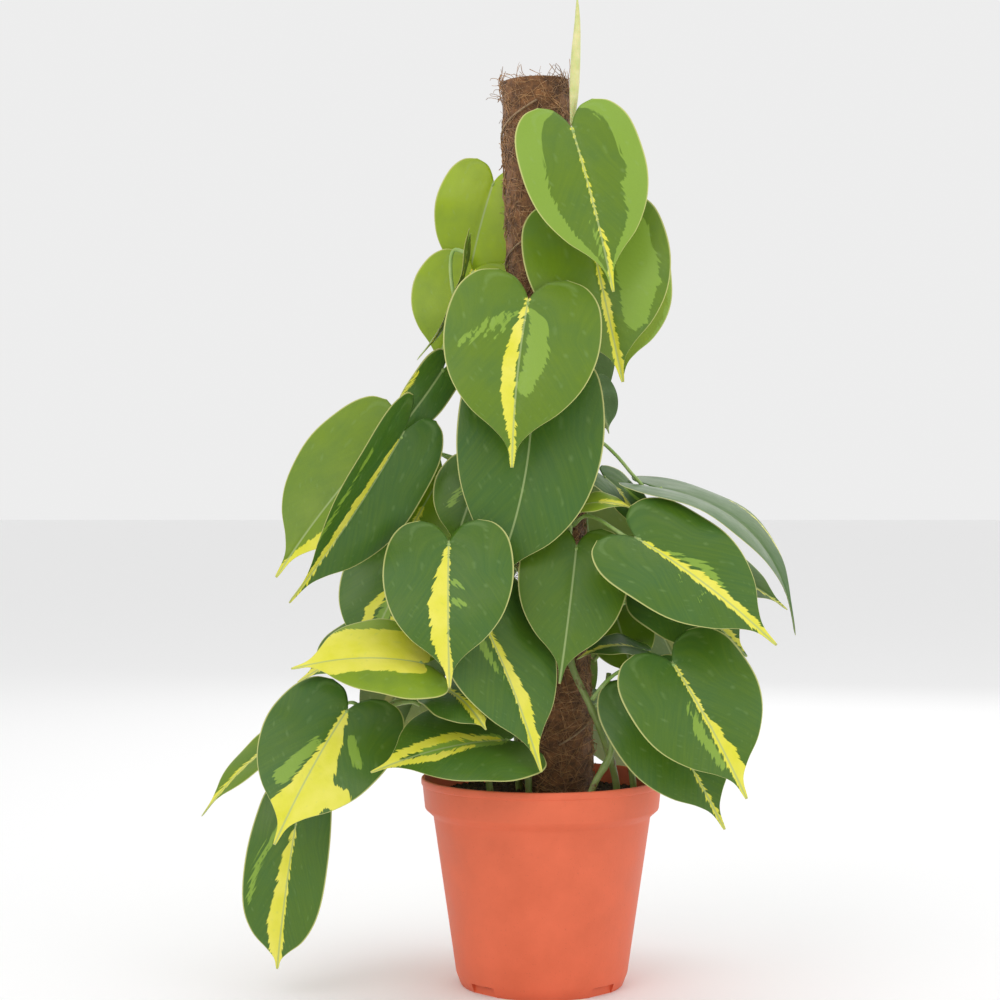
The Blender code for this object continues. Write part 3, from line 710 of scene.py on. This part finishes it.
def pot_cutters():
    """The drain holes and the slots in the foot."""
    cutters = []
    for i in range(DRAIN_HOLES):
        turn = math.tau * (i + 0.5) / DRAIN_HOLES
        mesh = bpy.data.meshes.new("drain")
        shape = bmesh.new()
        radius = DRAIN_HOLE_RADIUS * MM
        bmesh.ops.create_cone(shape, cap_ends=True, segments=24, radius1=radius, radius2=radius, depth=0.02)
        shape.transform(
            Matrix.Translation(Vector((math.cos(turn), math.sin(turn), 0)) * DRAIN_HOLE_RING * MM)
        )
        shape.to_mesh(mesh)
        shape.free()
        cutters.append(working_object(f"drain_{i + 1}", mesh))
    for i in range(FOOT_SLOTS):
        mesh = bpy.data.meshes.new("foot slot")
        shape = bmesh.new()
        bmesh.ops.create_cube(shape, size=1)
        shape.transform(Matrix.Diagonal((9 * MM, FOOT_SLOT_WIDTH * MM, 2 * FOOT_SLOT_HEIGHT * MM, 1)))
        turn = Matrix.Rotation(math.tau * (i + 0.5) / FOOT_SLOTS, 4, "Z")
        shape.transform(turn @ Matrix.Translation(Vector((FOOT_RADIUS, 0, 0)) * MM))
        shape.to_mesh(mesh)
        shape.free()
        cutters.append(working_object(f"foot_slot_{i + 1}", mesh))
    return cutters


def make_pot(settings):
    body = turned_object("pot body", pot_profile(), settings.steps)
    cutters = pot_cutters()
    for cutter in cutters:
        cut = body.modifiers.new("Cut", "BOOLEAN")
        cut.operation, cut.object, cut.solver = "DIFFERENCE", cutter, "EXACT"
    mesh = evaluated_mesh(body)
    for cutter in cutters:
        bpy.data.objects.remove(cutter)
    mesh.materials.clear()
    mesh.shade_smooth()
    mesh.set_sharp_from_angle(angle=math.radians(35))
    add_piece("nursery_pot", mesh, "plastic", "pot", materials=[plastic_finish(tuple(settings.colour))])


# Pieces that repeat, by Geometry Nodes


def scatter_tree(name, material):
    """Scatters one small mesh over a surface, turned at random, then wrinkles it by a noise."""
    tree = bpy.data.node_groups.new(name, "GeometryNodeTree")
    face = tree.interface
    face.new_socket("Surface", in_out="INPUT", socket_type="NodeSocketGeometry")
    face.new_socket("Strand", in_out="INPUT", socket_type="NodeSocketObject")
    face.new_socket("Density", in_out="INPUT", socket_type="NodeSocketFloat")
    face.new_socket("Smallest", in_out="INPUT", socket_type="NodeSocketFloat")
    face.new_socket("Largest", in_out="INPUT", socket_type="NodeSocketFloat")
    face.new_socket("Tilt", in_out="INPUT", socket_type="NodeSocketFloat")
    face.new_socket("Wrinkle", in_out="INPUT", socket_type="NodeSocketFloat")
    face.new_socket("Wrinkle Scale", in_out="INPUT", socket_type="NodeSocketFloat")
    face.new_socket("Seed", in_out="INPUT", socket_type="NodeSocketInt")
    face.new_socket("Scattered", in_out="OUTPUT", socket_type="NodeSocketGeometry")
    given = add_node(tree, "NodeGroupInput").outputs
    spread = add_node(
        tree,
        "GeometryNodeDistributePointsOnFaces",
        {"Mesh": given["Surface"], "Density": given["Density"], "Seed": given["Seed"]},
    )
    tilt = given["Tilt"]
    low = add_node(tree, "ShaderNodeCombineXYZ", {0: math_node(tree, "MULTIPLY", tilt, -1), 2: -math.pi})
    tree.links.new(math_node(tree, "MULTIPLY", tilt, -1), low.inputs[1])
    high = add_node(tree, "ShaderNodeCombineXYZ", {0: tilt, 1: tilt, 2: math.pi})
    turn = add_node(
        tree,
        "FunctionNodeRandomValue",
        {0: low.outputs[0], 1: high.outputs[0], "Seed": given["Seed"]},
        data_type="FLOAT_VECTOR",
    )
    turned = add_node(
        tree,
        "FunctionNodeRotateRotation",
        {0: spread.outputs["Rotation"], 1: turn.outputs[0]},
        rotation_space="LOCAL",
    )
    size = add_node(
        tree,
        "FunctionNodeRandomValue",
        {2: given["Smallest"], 3: given["Largest"], "Seed": given["Seed"]},
        data_type="FLOAT",
    )
    strand = add_node(tree, "GeometryNodeObjectInfo", {"Object": given["Strand"]})
    placed = add_node(
        tree,
        "GeometryNodeInstanceOnPoints",
        {
            "Points": spread.outputs["Points"],
            "Instance": strand.outputs["Geometry"],
            "Rotation": turned.outputs[0],
            "Scale": size.outputs[1],
        },
    )
    real = add_node(tree, "GeometryNodeRealizeInstances", {0: placed.outputs[0]})
    place = add_node(tree, "GeometryNodeInputPosition").outputs[0]
    cloud = add_node(tree, "ShaderNodeTexNoise", {"Vector": place, "Scale": given["Wrinkle Scale"]})
    centred = add_node(
        tree, "ShaderNodeVectorMath", {0: cloud.outputs[1], 1: (0.5, 0.5, 0.5)}, operation="SUBTRACT"
    )
    shift = add_node(
        tree, "ShaderNodeVectorMath", {0: centred.outputs[0], "Scale": given["Wrinkle"]}, operation="SCALE"
    )
    moved = add_node(tree, "GeometryNodeSetPosition", {"Geometry": real.outputs[0], "Offset": shift.outputs[0]})
    finished = add_node(tree, "GeometryNodeSetMaterial", {0: moved.outputs[0], "Material": material})
    add_node(tree, "NodeGroupOutput", {0: finished.outputs[0]})
    return tree


def scattered_mesh(surface, tree, values):
    """The mesh that a scatter tree makes on a surface object, with its inputs set by name."""
    obj = working_object(tree.name, surface)
    modifier = obj.modifiers.new("Scatter", "NODES")
    modifier.node_group = tree
    for socket in tree.interface.items_tree:
        if socket.in_out == "INPUT" and socket.name in values:
            modifier[socket.identifier] = values[socket.name]
    return evaluated_mesh(obj)


def make_soil(settings):
    fine = soil_finish()
    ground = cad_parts["soil"]
    ground.data.materials.clear()
    ground.data.materials.append(fine)
    surface = bpy.data.meshes.new("soil surface")
    shape = bmesh.new()
    grid = bmesh.ops.create_grid(shape, x_segments=48, y_segments=48, size=(RIM_RADIUS - 5) * MM)
    reach = RIM_RADIUS - 5.5
    for vertex in grid["verts"]:
        out = vertex.co.length / MM
        vertex.co.z = (SOIL_TOP + SOIL_CROWN * max(0, 1 - out / reach)) * MM
    gone = [v for v in shape.verts if v.co.xy.length > reach * MM]
    bmesh.ops.delete(shape, geom=gone, context="VERTS")
    pole = POLE_FOOT.lerp(POLE_TOP, 0.2)
    gone = [v for v in shape.verts if (v.co.xy - pole.xy).length < (POLE_RADIUS - 1) * MM]
    bmesh.ops.delete(shape, geom=gone, context="VERTS")
    shape.to_mesh(surface)
    shape.free()
    crumb_mesh = bpy.data.meshes.new("crumb")
    shape = bmesh.new()
    bmesh.ops.create_icosphere(shape, subdivisions=1, radius=MM)
    shape.to_mesh(crumb_mesh)
    shape.free()
    crumb = working_object("crumb", crumb_mesh)
    values = {
        "Strand": crumb,
        "Density": settings.crumbs,
        "Smallest": 0.4,
        "Largest": 2.4,
        "Tilt": 1.5,
        "Wrinkle": 0.003,
        "Wrinkle Scale": 260.0,
        "Seed": 3,
    }
    mesh = scattered_mesh(surface, scatter_tree("Soil crumbs", fine), values)
    bpy.data.objects.remove(crumb)
    add_piece("soil_crumbs", mesh, "soil")


def make_pole(settings):
    """The coir sleeve with its fibres, the frayed top, the twine and the stick inside."""
    sleeve = coir_finish("Coir mat", (0.05, 0.022, 0.008), (0.34, 0.15, 0.05))
    strand_finish = coir_finish("Coir strands", (0.16, 0.07, 0.024), (0.66, 0.36, 0.15))
    wood = coir_finish("Pole wood", (0.25, 0.15, 0.07), (0.5, 0.33, 0.18))
    for node, finish in (("coir_wrap", sleeve), ("pole_core", wood)):
        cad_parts[node].data.materials.clear()
        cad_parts[node].data.materials.append(finish)
    surface = bpy.data.meshes.new("sleeve surface")
    shape = bmesh.new()
    along = POLE_TOP - POLE_FOOT
    start, length = 0.195, along.length
    radius = (POLE_RADIUS + 0.2) * MM
    bmesh.ops.create_cone(
        shape, segments=32, radius1=radius, radius2=radius, depth=length * (1 - start), cap_ends=False
    )
    turn = along.to_track_quat("Z", "Y").to_matrix().to_4x4()
    shape.transform(Matrix.Translation(POLE_FOOT.lerp(POLE_TOP, (1 + start) / 2)) @ turn)
    shape.to_mesh(surface)
    shape.free()
    bend = [((t - 0.5) * 20 * MM, 0, (0.5 - 7 * (t - 0.5) ** 2) * MM) for t in (0, 0.17, 0.33, 0.5, 0.67, 0.83, 1)]
    strand = working_object("strand", joined_mesh("strand", [ring_tube(bend, [0.17 * MM] * 7, 3)]))
    values = {
        "Strand": strand,
        "Density": settings.strands,
        "Smallest": 0.5,
        "Largest": 1.5,
        "Tilt": 0.12,
        "Wrinkle": 0.007,
        "Wrinkle Scale": 95.0,
        "Seed": 5,
    }
    mesh = scattered_mesh(surface, scatter_tree("Coir strands", strand_finish), values)
    bpy.data.objects.remove(strand)
    add_piece("coir_strands", mesh, "coir")
    add_piece("frayed_top", frayed_top_mesh(settings), "coir", materials=[strand_finish])
    line = []
    steps = 60 * TWINE_TURNS
    for i in range(steps + 1):
        share = i / steps
        height = TWINE_LOW + (TWINE_HIGH - TWINE_LOW) * share
        line.append(pole_point(height, 360 * TWINE_TURNS * share, POLE_RADIUS + TWINE_RADIUS + 0.8))
    twine = joined_mesh("twine", [ring_tube(line, [TWINE_RADIUS * MM] * len(line), 8)])
    finish = coir_finish("Twine", (0.18, 0.1, 0.05), (0.5, 0.34, 0.18))
    add_piece("twine", twine, "twine", "binding_twine", materials=[finish])


def frayed_top_mesh(settings):
    """Loose curly strands that stand out of the sleeve's top edge."""
    chance = random.Random(7)
    shapes = []
    for _ in range(settings.frayed):
        angle = chance.uniform(0, 360)
        leftward = math.sin(math.radians(angle)) < -0.2
        place = pole_point(chance.uniform(546, 560), angle, chance.uniform(8, POLE_RADIUS))
        outward = (place - pole_point(552, 0, 0)) * (1 / POLE_RADIUS / MM)
        outward.z = 0
        reach = chance.uniform(5, 15 if leftward else 9) * MM
        curl, turn = chance.uniform(1, 4) * MM, chance.uniform(0, math.tau)
        line = []
        for i in range(9):
            share = i / 8
            swirl = Vector((math.cos(turn + 5 * share), math.sin(turn + 5 * share), math.sin(turn + 4 * share)))
            rise = Vector((0, 0, 0.75 * share - 0.5 * share**2))
            line.append(place + outward * share * reach + rise * reach + swirl * curl * share)
        shapes.append(ring_tube(line, [0.16 * MM] * 9, 4))
    return joined_mesh("frayed top", shapes)


# The plant


def make_vines(settings):
    """The stems, with a swelling at each joint and brown scars scattered by a noise, and short roots that grip the
    pole.
    """
    green = stem_finish("Vine", (0.16, 0.24, 0.05), (0.3, 0.38, 0.12), 0.12)
    root = stem_finish("Aerial root", (0.2, 0.09, 0.04), (0.34, 0.19, 0.09))
    chance = random.Random(13)
    roots = []
    for name, line in VINE_LINES.items():
        total = sum((b - a).length for a, b in zip(line, line[1:])) / MM
        count = int(total / 2.5)
        points, radii = [], []
        for i in range(count + 1):
            distance = total * i / count
            points.append(point_along(line, distance)[0])
            to_joint = abs((distance + 12) % settings.joint_spacing - settings.joint_spacing / 2)
            swelling = 0.28 * math.exp(-((to_joint / 2.6) ** 2))
            radii.append(VINE_RADIUS * MM * (1 - 0.3 * i / count) * (0.96 + swelling))
        mesh = joined_mesh(name, [ring_tube(points, radii, 14)])
        add_piece(f"{name}_stem", mesh, "stem", name, materials=[green])
        if name.startswith("vine") and name != "vine_trailing":
            for _ in range(settings.roots):
                place, _ = point_along(line, chance.uniform(40, total - 10))
                centre = pole_point(place.z / MM, 0, 0)
                inward = (centre - place).normalized()
                across = inward.cross(Vector((0, 0, 1))) * chance.choice((-1, 1))
                sag = Vector((0, 0, chance.uniform(-6, 2))) * MM
                end = place + across * chance.uniform(4, 9) * MM + inward * 2.5 * MM + sag
                middle = place.lerp(end, 0.5) - inward * 1.2 * MM
                bow = [bezier(place, middle, middle, end, i / 6) for i in range(7)]
                roots.append(ring_tube(bow, [0.5 * MM * (1 - 0.09 * i) for i in range(7)], 6))
    add_piece("aerial_roots", joined_mesh("aerial roots", roots), "stem", materials=[root])


def make_new_leaf():
    """The pale rolled leaf at the top, with the seam where its edge overlaps."""
    points = [(18, -28, 528), (19, -31, 548), (20, -32, 570), (21, -31, 590), (21, -30, 606)]
    share_of_radius = [0.45, 0.7, 0.95, 1, 0.95, 0.8, 0.6, 0.38, 0.12]
    count, sides = 40, 20
    line = [smooth_value(points, i / count) * MM for i in range(count + 1)]
    sizes = [(s, 0, 0) for s in share_of_radius]
    radii = [smooth_value(sizes, i / count).x * 3 * MM for i in range(count + 1)]
    vertices, faces = ring_tube(line, radii, sides)
    for i in range(count + 1):
        seam = (3 + int(i * 0.12)) % sides
        vertices[i * sides + seam] = vertices[i * sides + seam].lerp(line[i], 0.28)
    made, tree, shader = new_finish("Rolled leaf", 0.45, Subsurface_Weight=0.15, Subsurface_Scale=0.003)
    space = object_space(tree)
    streaks = noise(tree, space, 120, 4)
    base = mixed(tree, ranged(tree, streaks, 0.35, 0.7), (0.78, 0.74, 0.36), (0.55, 0.62, 0.2))
    tree.links.new(base, shader.inputs["Base Color"])
    tree.links.new(bump(tree, streaks, 0.0002), shader.inputs["Normal"])
    add_piece("rolled_leaf", joined_mesh("rolled leaf", [(vertices, faces)]), "new_leaf", "new_leaf", materials=[made])


def stroke_depth(x, y, strokes, width, length):
    """How far inside the nearest stroke each point lies, in mm, below zero outside."""
    best = np.full(x.shape, -99.0)
    for stroke in strokes:
        for (x0, y0, r0), (x1, y1, r1) in zip(stroke, stroke[1:]):
            ax, ay = x0 * width / 2, y0 * length
            dx, dy = x1 * width / 2 - ax, y1 * length - ay
            share = np.clip(((x - ax) * dx + (y - ay) * dy) / (dx * dx + dy * dy + 1e-9), 0, 1)
            away = np.hypot(x - ax - share * dx, y - ay - share * dy)
            best = np.maximum(best, r0 + (r1 - r0) * share - away)
    return best


def hidden_paint(number):
    """A colouring for a leaf at the back: a yellow streak of its own width and length, and some lime."""
    chance = random.Random(HIDDEN_LEAF_SEED + number)
    first, lean, wide = chance.uniform(0.02, 0.3), chance.uniform(-0.18, 0.18), chance.uniform(1.5, 5.5)
    yellow = [[(0, first, 0.8), (lean, 0.45, wide), (lean, 0.72, wide * 0.9), (0, 1, 1.8)]]
    lime = [[(-lean * 2, 0.25, 1.5), (-lean * 3, 0.5, chance.uniform(1, 4))]]
    return Paint(chance.choice((0.1, 0.15, 0.35, 0.6)), yellow if chance.random() > 0.2 else (), lime)


def vein_place(across, along):
    """Which lateral vein a point of the blade is on: veins sweep out and towards the tip."""
    slope = np.clip((along + 0.06) / 0.3, -0.9, 1) * 0.5
    return along - slope * np.abs(across) - 0.12 * across**2


def leaf_mesh(leaf, settings):
    """One closed leaf: its upper side, underside and edge, and its stalk."""
    columns, rows = settings.columns, settings.rows
    blade = Blade(leaf)
    across = [math.sin(math.pi / 2 * (2 * i / columns - 1)) for i in range(columns + 1)]
    grid = np.array([[[*p, fx, fy] for p, fx, fy in (blade.point(a, j / rows) for a in across)] for j in range(rows + 1)])
    place, flat_x, flat_y = grid[..., :3], grid[..., 3], grid[..., 4]
    by_row, by_column = np.gradient(place, axis=0), np.gradient(place, axis=1)
    normal = np.cross(by_column, -by_row)
    normal /= np.linalg.norm(normal, axis=2, keepdims=True) + 1e-12
    if normal[rows // 2, columns // 2] @ np.array(blade.normal) < 0:
        normal = -normal
    width, length = leaf.width, blade.length / MM
    x, y = flat_x * width / 2, flat_y * length
    lane = vein_place(flat_x, flat_y) / settings.vein_spacing
    ridge = np.abs(np.sin(math.pi * lane))
    from_edge = (1 - np.abs(np.array(across)))[None, :] * width / 2 * 0.9 + 0 * x
    from_edge = np.minimum(from_edge, np.array([(1 - j / rows) * length for j in range(rows + 1)])[:, None] + 0.2)
    fade = np.clip(from_edge / 8, 0, 1) * np.clip(np.abs(x) / 3, 0, 1)
    relief = settings.relief * fade * (ridge**0.7 - 1) - 0.5 * np.exp(-((x / 1.4) ** 2)) * np.clip(from_edge / 3, 0, 1)
    half = 0.17 * np.clip(from_edge / 1.5, 0.35, 1)
    top = place + normal * ((half + relief)[..., None] * MM)
    bottom = place + normal * ((relief - half)[..., None] * MM)
    wide, tall = columns + 1, rows + 1
    faces, kinds = [], []
    for j in range(rows):
        for i in range(columns):
            a = j * wide + i
            quad = (a, a + 1, a + wide + 1, a + wide)
            faces += [quad, tuple(wide * tall + k for k in reversed(quad))]
            kinds += [0, 1]
    edge = [j * wide for j in range(tall)] + [rows * wide + i for i in range(1, wide)]
    edge += [j * wide + columns for j in range(rows - 1, -1, -1)] + [i for i in range(columns - 1, 0, -1)]
    for a, b in zip(edge, edge[1:] + edge[:1]):
        faces.append((a, b, b + wide * tall, a + wide * tall))
        kinds.append(0)
    vertices = [tuple(v) for v in np.concatenate([top.reshape(-1, 3), bottom.reshape(-1, 3)])]
    line = petiole_line(leaf, blade)
    fine_line = [smooth_value(line, i / 30) for i in range(31)]
    thick = [PETIOLE_RADIUS * MM * (1.25 - 0.45 * min(1, i / 8) + 0.12 * (i / 30) ** 4) for i in range(31)]
    more_vertices, more_faces = ring_tube(fine_line, thick, 10)
    start = len(vertices)
    vertices += [tuple(v) for v in more_vertices]
    faces += [tuple(start + i for i in face) for face in more_faces]
    kinds += [2] * len(more_faces)
    mesh = bpy.data.meshes.new(leaf.name)
    mesh.from_pydata(vertices, [], faces)
    mesh.polygons.foreach_set("material_index", kinds)
    mesh.shade_smooth()
    shape = bmesh.new()
    shape.from_mesh(mesh)
    bmesh.ops.recalc_face_normals(shape, faces=shape.faces)
    shape.to_mesh(mesh)
    shape.free()
    add_leaf_fields(mesh, leaf, x, y, lane, ridge, from_edge, flat_x, width, length)
    return mesh


def add_leaf_fields(mesh, leaf, x, y, lane, ridge, from_edge, flat_x, width, length):
    """The fields that the leaf's finish reads: strokes, age, veins, midrib and margin."""
    number = int(leaf.name[-2:])
    paint = PAINTS.get(leaf.name) or hidden_paint(number)
    lime = stroke_depth(x, y, paint.lime, width, length)
    if paint.edge:
        lime = np.maximum(lime, paint.edge - from_edge)
    fields = {
        "yellow": stroke_depth(x, y, paint.yellow, width, length),
        "lime": lime,
        "young": np.full(x.shape, paint.young),
        "vein": np.clip(1 - ridge * 3.5, 0, 1) * np.clip(from_edge / 6, 0, 1),
        "midrib": np.abs(x) + 2 * np.clip(y / length - 0.93, 0, 1),
        "margin": from_edge,
    }
    spare = len(mesh.vertices) - 2 * x.size
    for name, field in fields.items():
        values = np.concatenate([field.ravel(), field.ravel(), np.zeros(spare)])
        mesh.attributes.new(name, "FLOAT", "POINT").data.foreach_set("value", values.astype(np.float32))
    flat = np.stack([lane.ravel() * 1.4 + number * 3.7, flat_x.ravel() * 1.1 + number], axis=1)
    place = np.concatenate([flat, flat, np.zeros((spare, 2))])
    corners = np.empty(len(mesh.loops), np.int32)
    mesh.loops.foreach_get("vertex_index", corners)
    mesh.uv_layers.new(name="veins").data.foreach_set("uv", place[corners].astype(np.float32).ravel())


def make_leaves(settings):
    finishes = [
        leaf_finish(settings),
        underside_finish(),
        stem_finish("Leaf stalk", (0.24, 0.4, 0.07), (0.42, 0.55, 0.2)),
    ]
    for leaf in LEAVES:
        number = leaf.name[-2:]
        add_piece(f"heart_leaf_{number}", leaf_mesh(leaf, settings), "leaf", leaf.name, materials=finishes)


# The stage


def make_stage(settings):
    """A pale floor, soft lights, a pale surrounding and the camera."""
    mesh = bpy.data.meshes.new("Floor")
    shape = bmesh.new()
    bmesh.ops.create_grid(shape, x_segments=1, y_segments=1, size=30)
    shape.to_mesh(mesh)
    shape.free()
    floor = working_object("Floor", mesh)
    made, tree, shader = new_finish("Pale floor", 0.9, Specular_IOR_Level=0.1)
    shader.inputs["Base Color"].default_value = (0.93, 0.93, 0.93, 1)
    mesh.materials.append(made)
    world = bpy.data.worlds.new("Studio")
    bpy.context.scene.world = world
    world.use_nodes = True
    world.node_tree.nodes["Background"].inputs["Color"].default_value = (1, 1, 1, 1)
    world.node_tree.nodes["Background"].inputs["Strength"].default_value = settings.surround
    for name, place, size, power in (
        ("Key light", (-0.9, -1.5, 1.6), 1.2, settings.key_power),
        ("Fill light", (1.4, -1.2, 0.9), 1.4, settings.key_power * 0.45),
        ("Top light", (0.2, 0.3, 2.0), 1.4, settings.key_power * 0.7),
        ("Back light", (0.4, 1.6, 1.1), 1.4, settings.key_power * 0.5),
    ):
        data = bpy.data.lights.new(name, "AREA")
        data.energy, data.size = power, size
        light = working_object(name, data)
        light.location = place
        light.rotation_euler = (Vector((0, 0, 0.28)) - Vector(place)).to_track_quat("-Z", "Y").to_euler()
    data = bpy.data.cameras.new("Camera")
    data.lens, data.sensor_width = settings.lens, 36
    camera = working_object("Camera", data)
    camera.location = (-0.026, -1.3, 0.3)
    camera.rotation_euler = (math.pi / 2, 0, 0)
    bpy.context.scene.camera = camera
    bpy.context.scene.view_settings.view_transform = "Standard"


VINE_LINES = vine_lines()


# The add-on


class PotSettings(bpy.types.PropertyGroup):
    steps: bpy.props.IntProperty(name="Steps", description="Facets round the pot", default=144, min=24)
    colour: bpy.props.FloatVectorProperty(
        name="Colour", description="The plastic's colour", subtype="COLOR", default=(0.72, 0.135, 0.055)
    )


class SoilSettings(bpy.types.PropertyGroup):
    crumbs: bpy.props.FloatProperty(
        name="Crumbs", description="Crumbs of soil for each square metre", default=200000
    )


class PoleSettings(bpy.types.PropertyGroup):
    strands: bpy.props.FloatProperty(
        name="Strands", description="Coir strands for each square metre of sleeve", default=72000
    )
    frayed: bpy.props.IntProperty(name="Frayed", description="Loose strands at the top", default=130)


class VineSettings(bpy.types.PropertyGroup):
    joint_spacing: bpy.props.FloatProperty(
        name="Joint spacing", description="Distance between joints of a stem, in mm", default=34
    )
    roots: bpy.props.IntProperty(name="Roots", description="Aerial roots on each climbing stem", default=9)


class LeafSettings(bpy.types.PropertyGroup):
    columns: bpy.props.IntProperty(name="Columns", description="Faces across a blade", default=34)
    rows: bpy.props.IntProperty(name="Rows", description="Faces along a blade", default=44)
    vein_spacing: bpy.props.FloatProperty(
        name="Vein spacing", description="Distance between veins, in blade lengths", default=0.1
    )
    relief: bpy.props.FloatProperty(
        name="Relief", description="Depth of the furrows over the veins, in mm", default=0.35
    )
    dark_green: bpy.props.FloatVectorProperty(
        name="Dark green", description="An old leaf", subtype="COLOR", default=(0.03, 0.108, 0.013)
    )
    fresh_green: bpy.props.FloatVectorProperty(
        name="Fresh green", description="A young leaf", subtype="COLOR", default=(0.32, 0.45, 0.006)
    )
    lime: bpy.props.FloatVectorProperty(
        name="Lime", description="The pale green strokes", subtype="COLOR", default=(0.27, 0.43, 0.05)
    )
    yellow: bpy.props.FloatVectorProperty(
        name="Yellow", description="The yellow strokes", subtype="COLOR", default=(0.74, 0.72, 0.035)
    )


class StageSettings(bpy.types.PropertyGroup):
    surround: bpy.props.FloatProperty(name="Surround", description="Strength of the pale surround", default=0.85)
    key_power: bpy.props.FloatProperty(name="Key power", description="Key light", subtype="POWER", default=8)
    lens: bpy.props.FloatProperty(name="Lens", description="Focal length in mm", default=75.2)


class PLANT_OT_pot(bpy.types.Operator):
    """Makes the nursery pot"""

    bl_idname = "plant.pot"
    bl_label = "Make pot"

    def execute(self, context):
        make_pot(context.scene.plant_pot)
        return {"FINISHED"}


class PLANT_OT_soil(bpy.types.Operator):
    """Finishes the soil and scatters crumbs on it"""

    bl_idname = "plant.soil"
    bl_label = "Make soil"

    def execute(self, context):
        make_soil(context.scene.plant_soil)
        return {"FINISHED"}


class PLANT_OT_pole(bpy.types.Operator):
    """Makes the coir pole, its strands and its twine"""

    bl_idname = "plant.pole"
    bl_label = "Make pole"

    def execute(self, context):
        make_pole(context.scene.plant_pole)
        return {"FINISHED"}


class PLANT_OT_vines(bpy.types.Operator):
    """Makes the stems and their aerial roots"""

    bl_idname = "plant.vines"
    bl_label = "Make vines"

    def execute(self, context):
        make_vines(context.scene.plant_vine)
        return {"FINISHED"}


class PLANT_OT_new_leaf(bpy.types.Operator):
    """Makes the rolled leaf at the top"""

    bl_idname = "plant.new_leaf"
    bl_label = "Make rolled leaf"

    def execute(self, context):
        make_new_leaf()
        return {"FINISHED"}


class PLANT_OT_leaves(bpy.types.Operator):
    """Makes every open leaf with its stalk"""

    bl_idname = "plant.leaves"
    bl_label = "Make leaves"

    def execute(self, context):
        make_leaves(context.scene.plant_leaf)
        return {"FINISHED"}


class PLANT_OT_stage(bpy.types.Operator):
    """Makes the floor, the lights and the camera"""

    bl_idname = "plant.stage"
    bl_label = "Make stage"

    def execute(self, context):
        make_stage(context.scene.plant_stage)
        return {"FINISHED"}


class PLANT_PT_panel(bpy.types.Panel):
    """Lists the pieces of the plant"""

    bl_idname = "PLANT_PT_panel"
    bl_label = "Potted plant"
    bl_space_type = "VIEW_3D"
    bl_region_type = "UI"
    bl_category = "Plant"

    def draw(self, context):
        for operator in OPERATORS:
            self.layout.operator(operator.bl_idname)
        for name, group in SETTINGS.items():
            box = self.layout.box()
            for key in group.__annotations__:
                box.prop(getattr(context.scene, name), key)


SETTINGS = {
    "plant_pot": PotSettings,
    "plant_soil": SoilSettings,
    "plant_pole": PoleSettings,
    "plant_vine": VineSettings,
    "plant_leaf": LeafSettings,
    "plant_stage": StageSettings,
}
OPERATORS = [
    PLANT_OT_pot,
    PLANT_OT_soil,
    PLANT_OT_pole,
    PLANT_OT_vines,
    PLANT_OT_new_leaf,
    PLANT_OT_leaves,
    PLANT_OT_stage,
]


def register():
    for each in [*SETTINGS.values(), *OPERATORS, PLANT_PT_panel]:
        bpy.utils.register_class(each)
    for name, group in SETTINGS.items():
        setattr(bpy.types.Scene, name, bpy.props.PointerProperty(type=group))


def unregister():
    for name in SETTINGS:
        delattr(bpy.types.Scene, name)
    for each in reversed([*SETTINGS.values(), *OPERATORS, PLANT_PT_panel]):
        bpy.utils.unregister_class(each)


def main():
    register()
    bpy.ops.plant.pot()
    bpy.ops.plant.soil()
    bpy.ops.plant.pole()
    bpy.ops.plant.vines()
    bpy.ops.plant.new_leaf()
    bpy.ops.plant.leaves()
    bpy.ops.plant.stage()


if __name__ == "__main__":
    main()
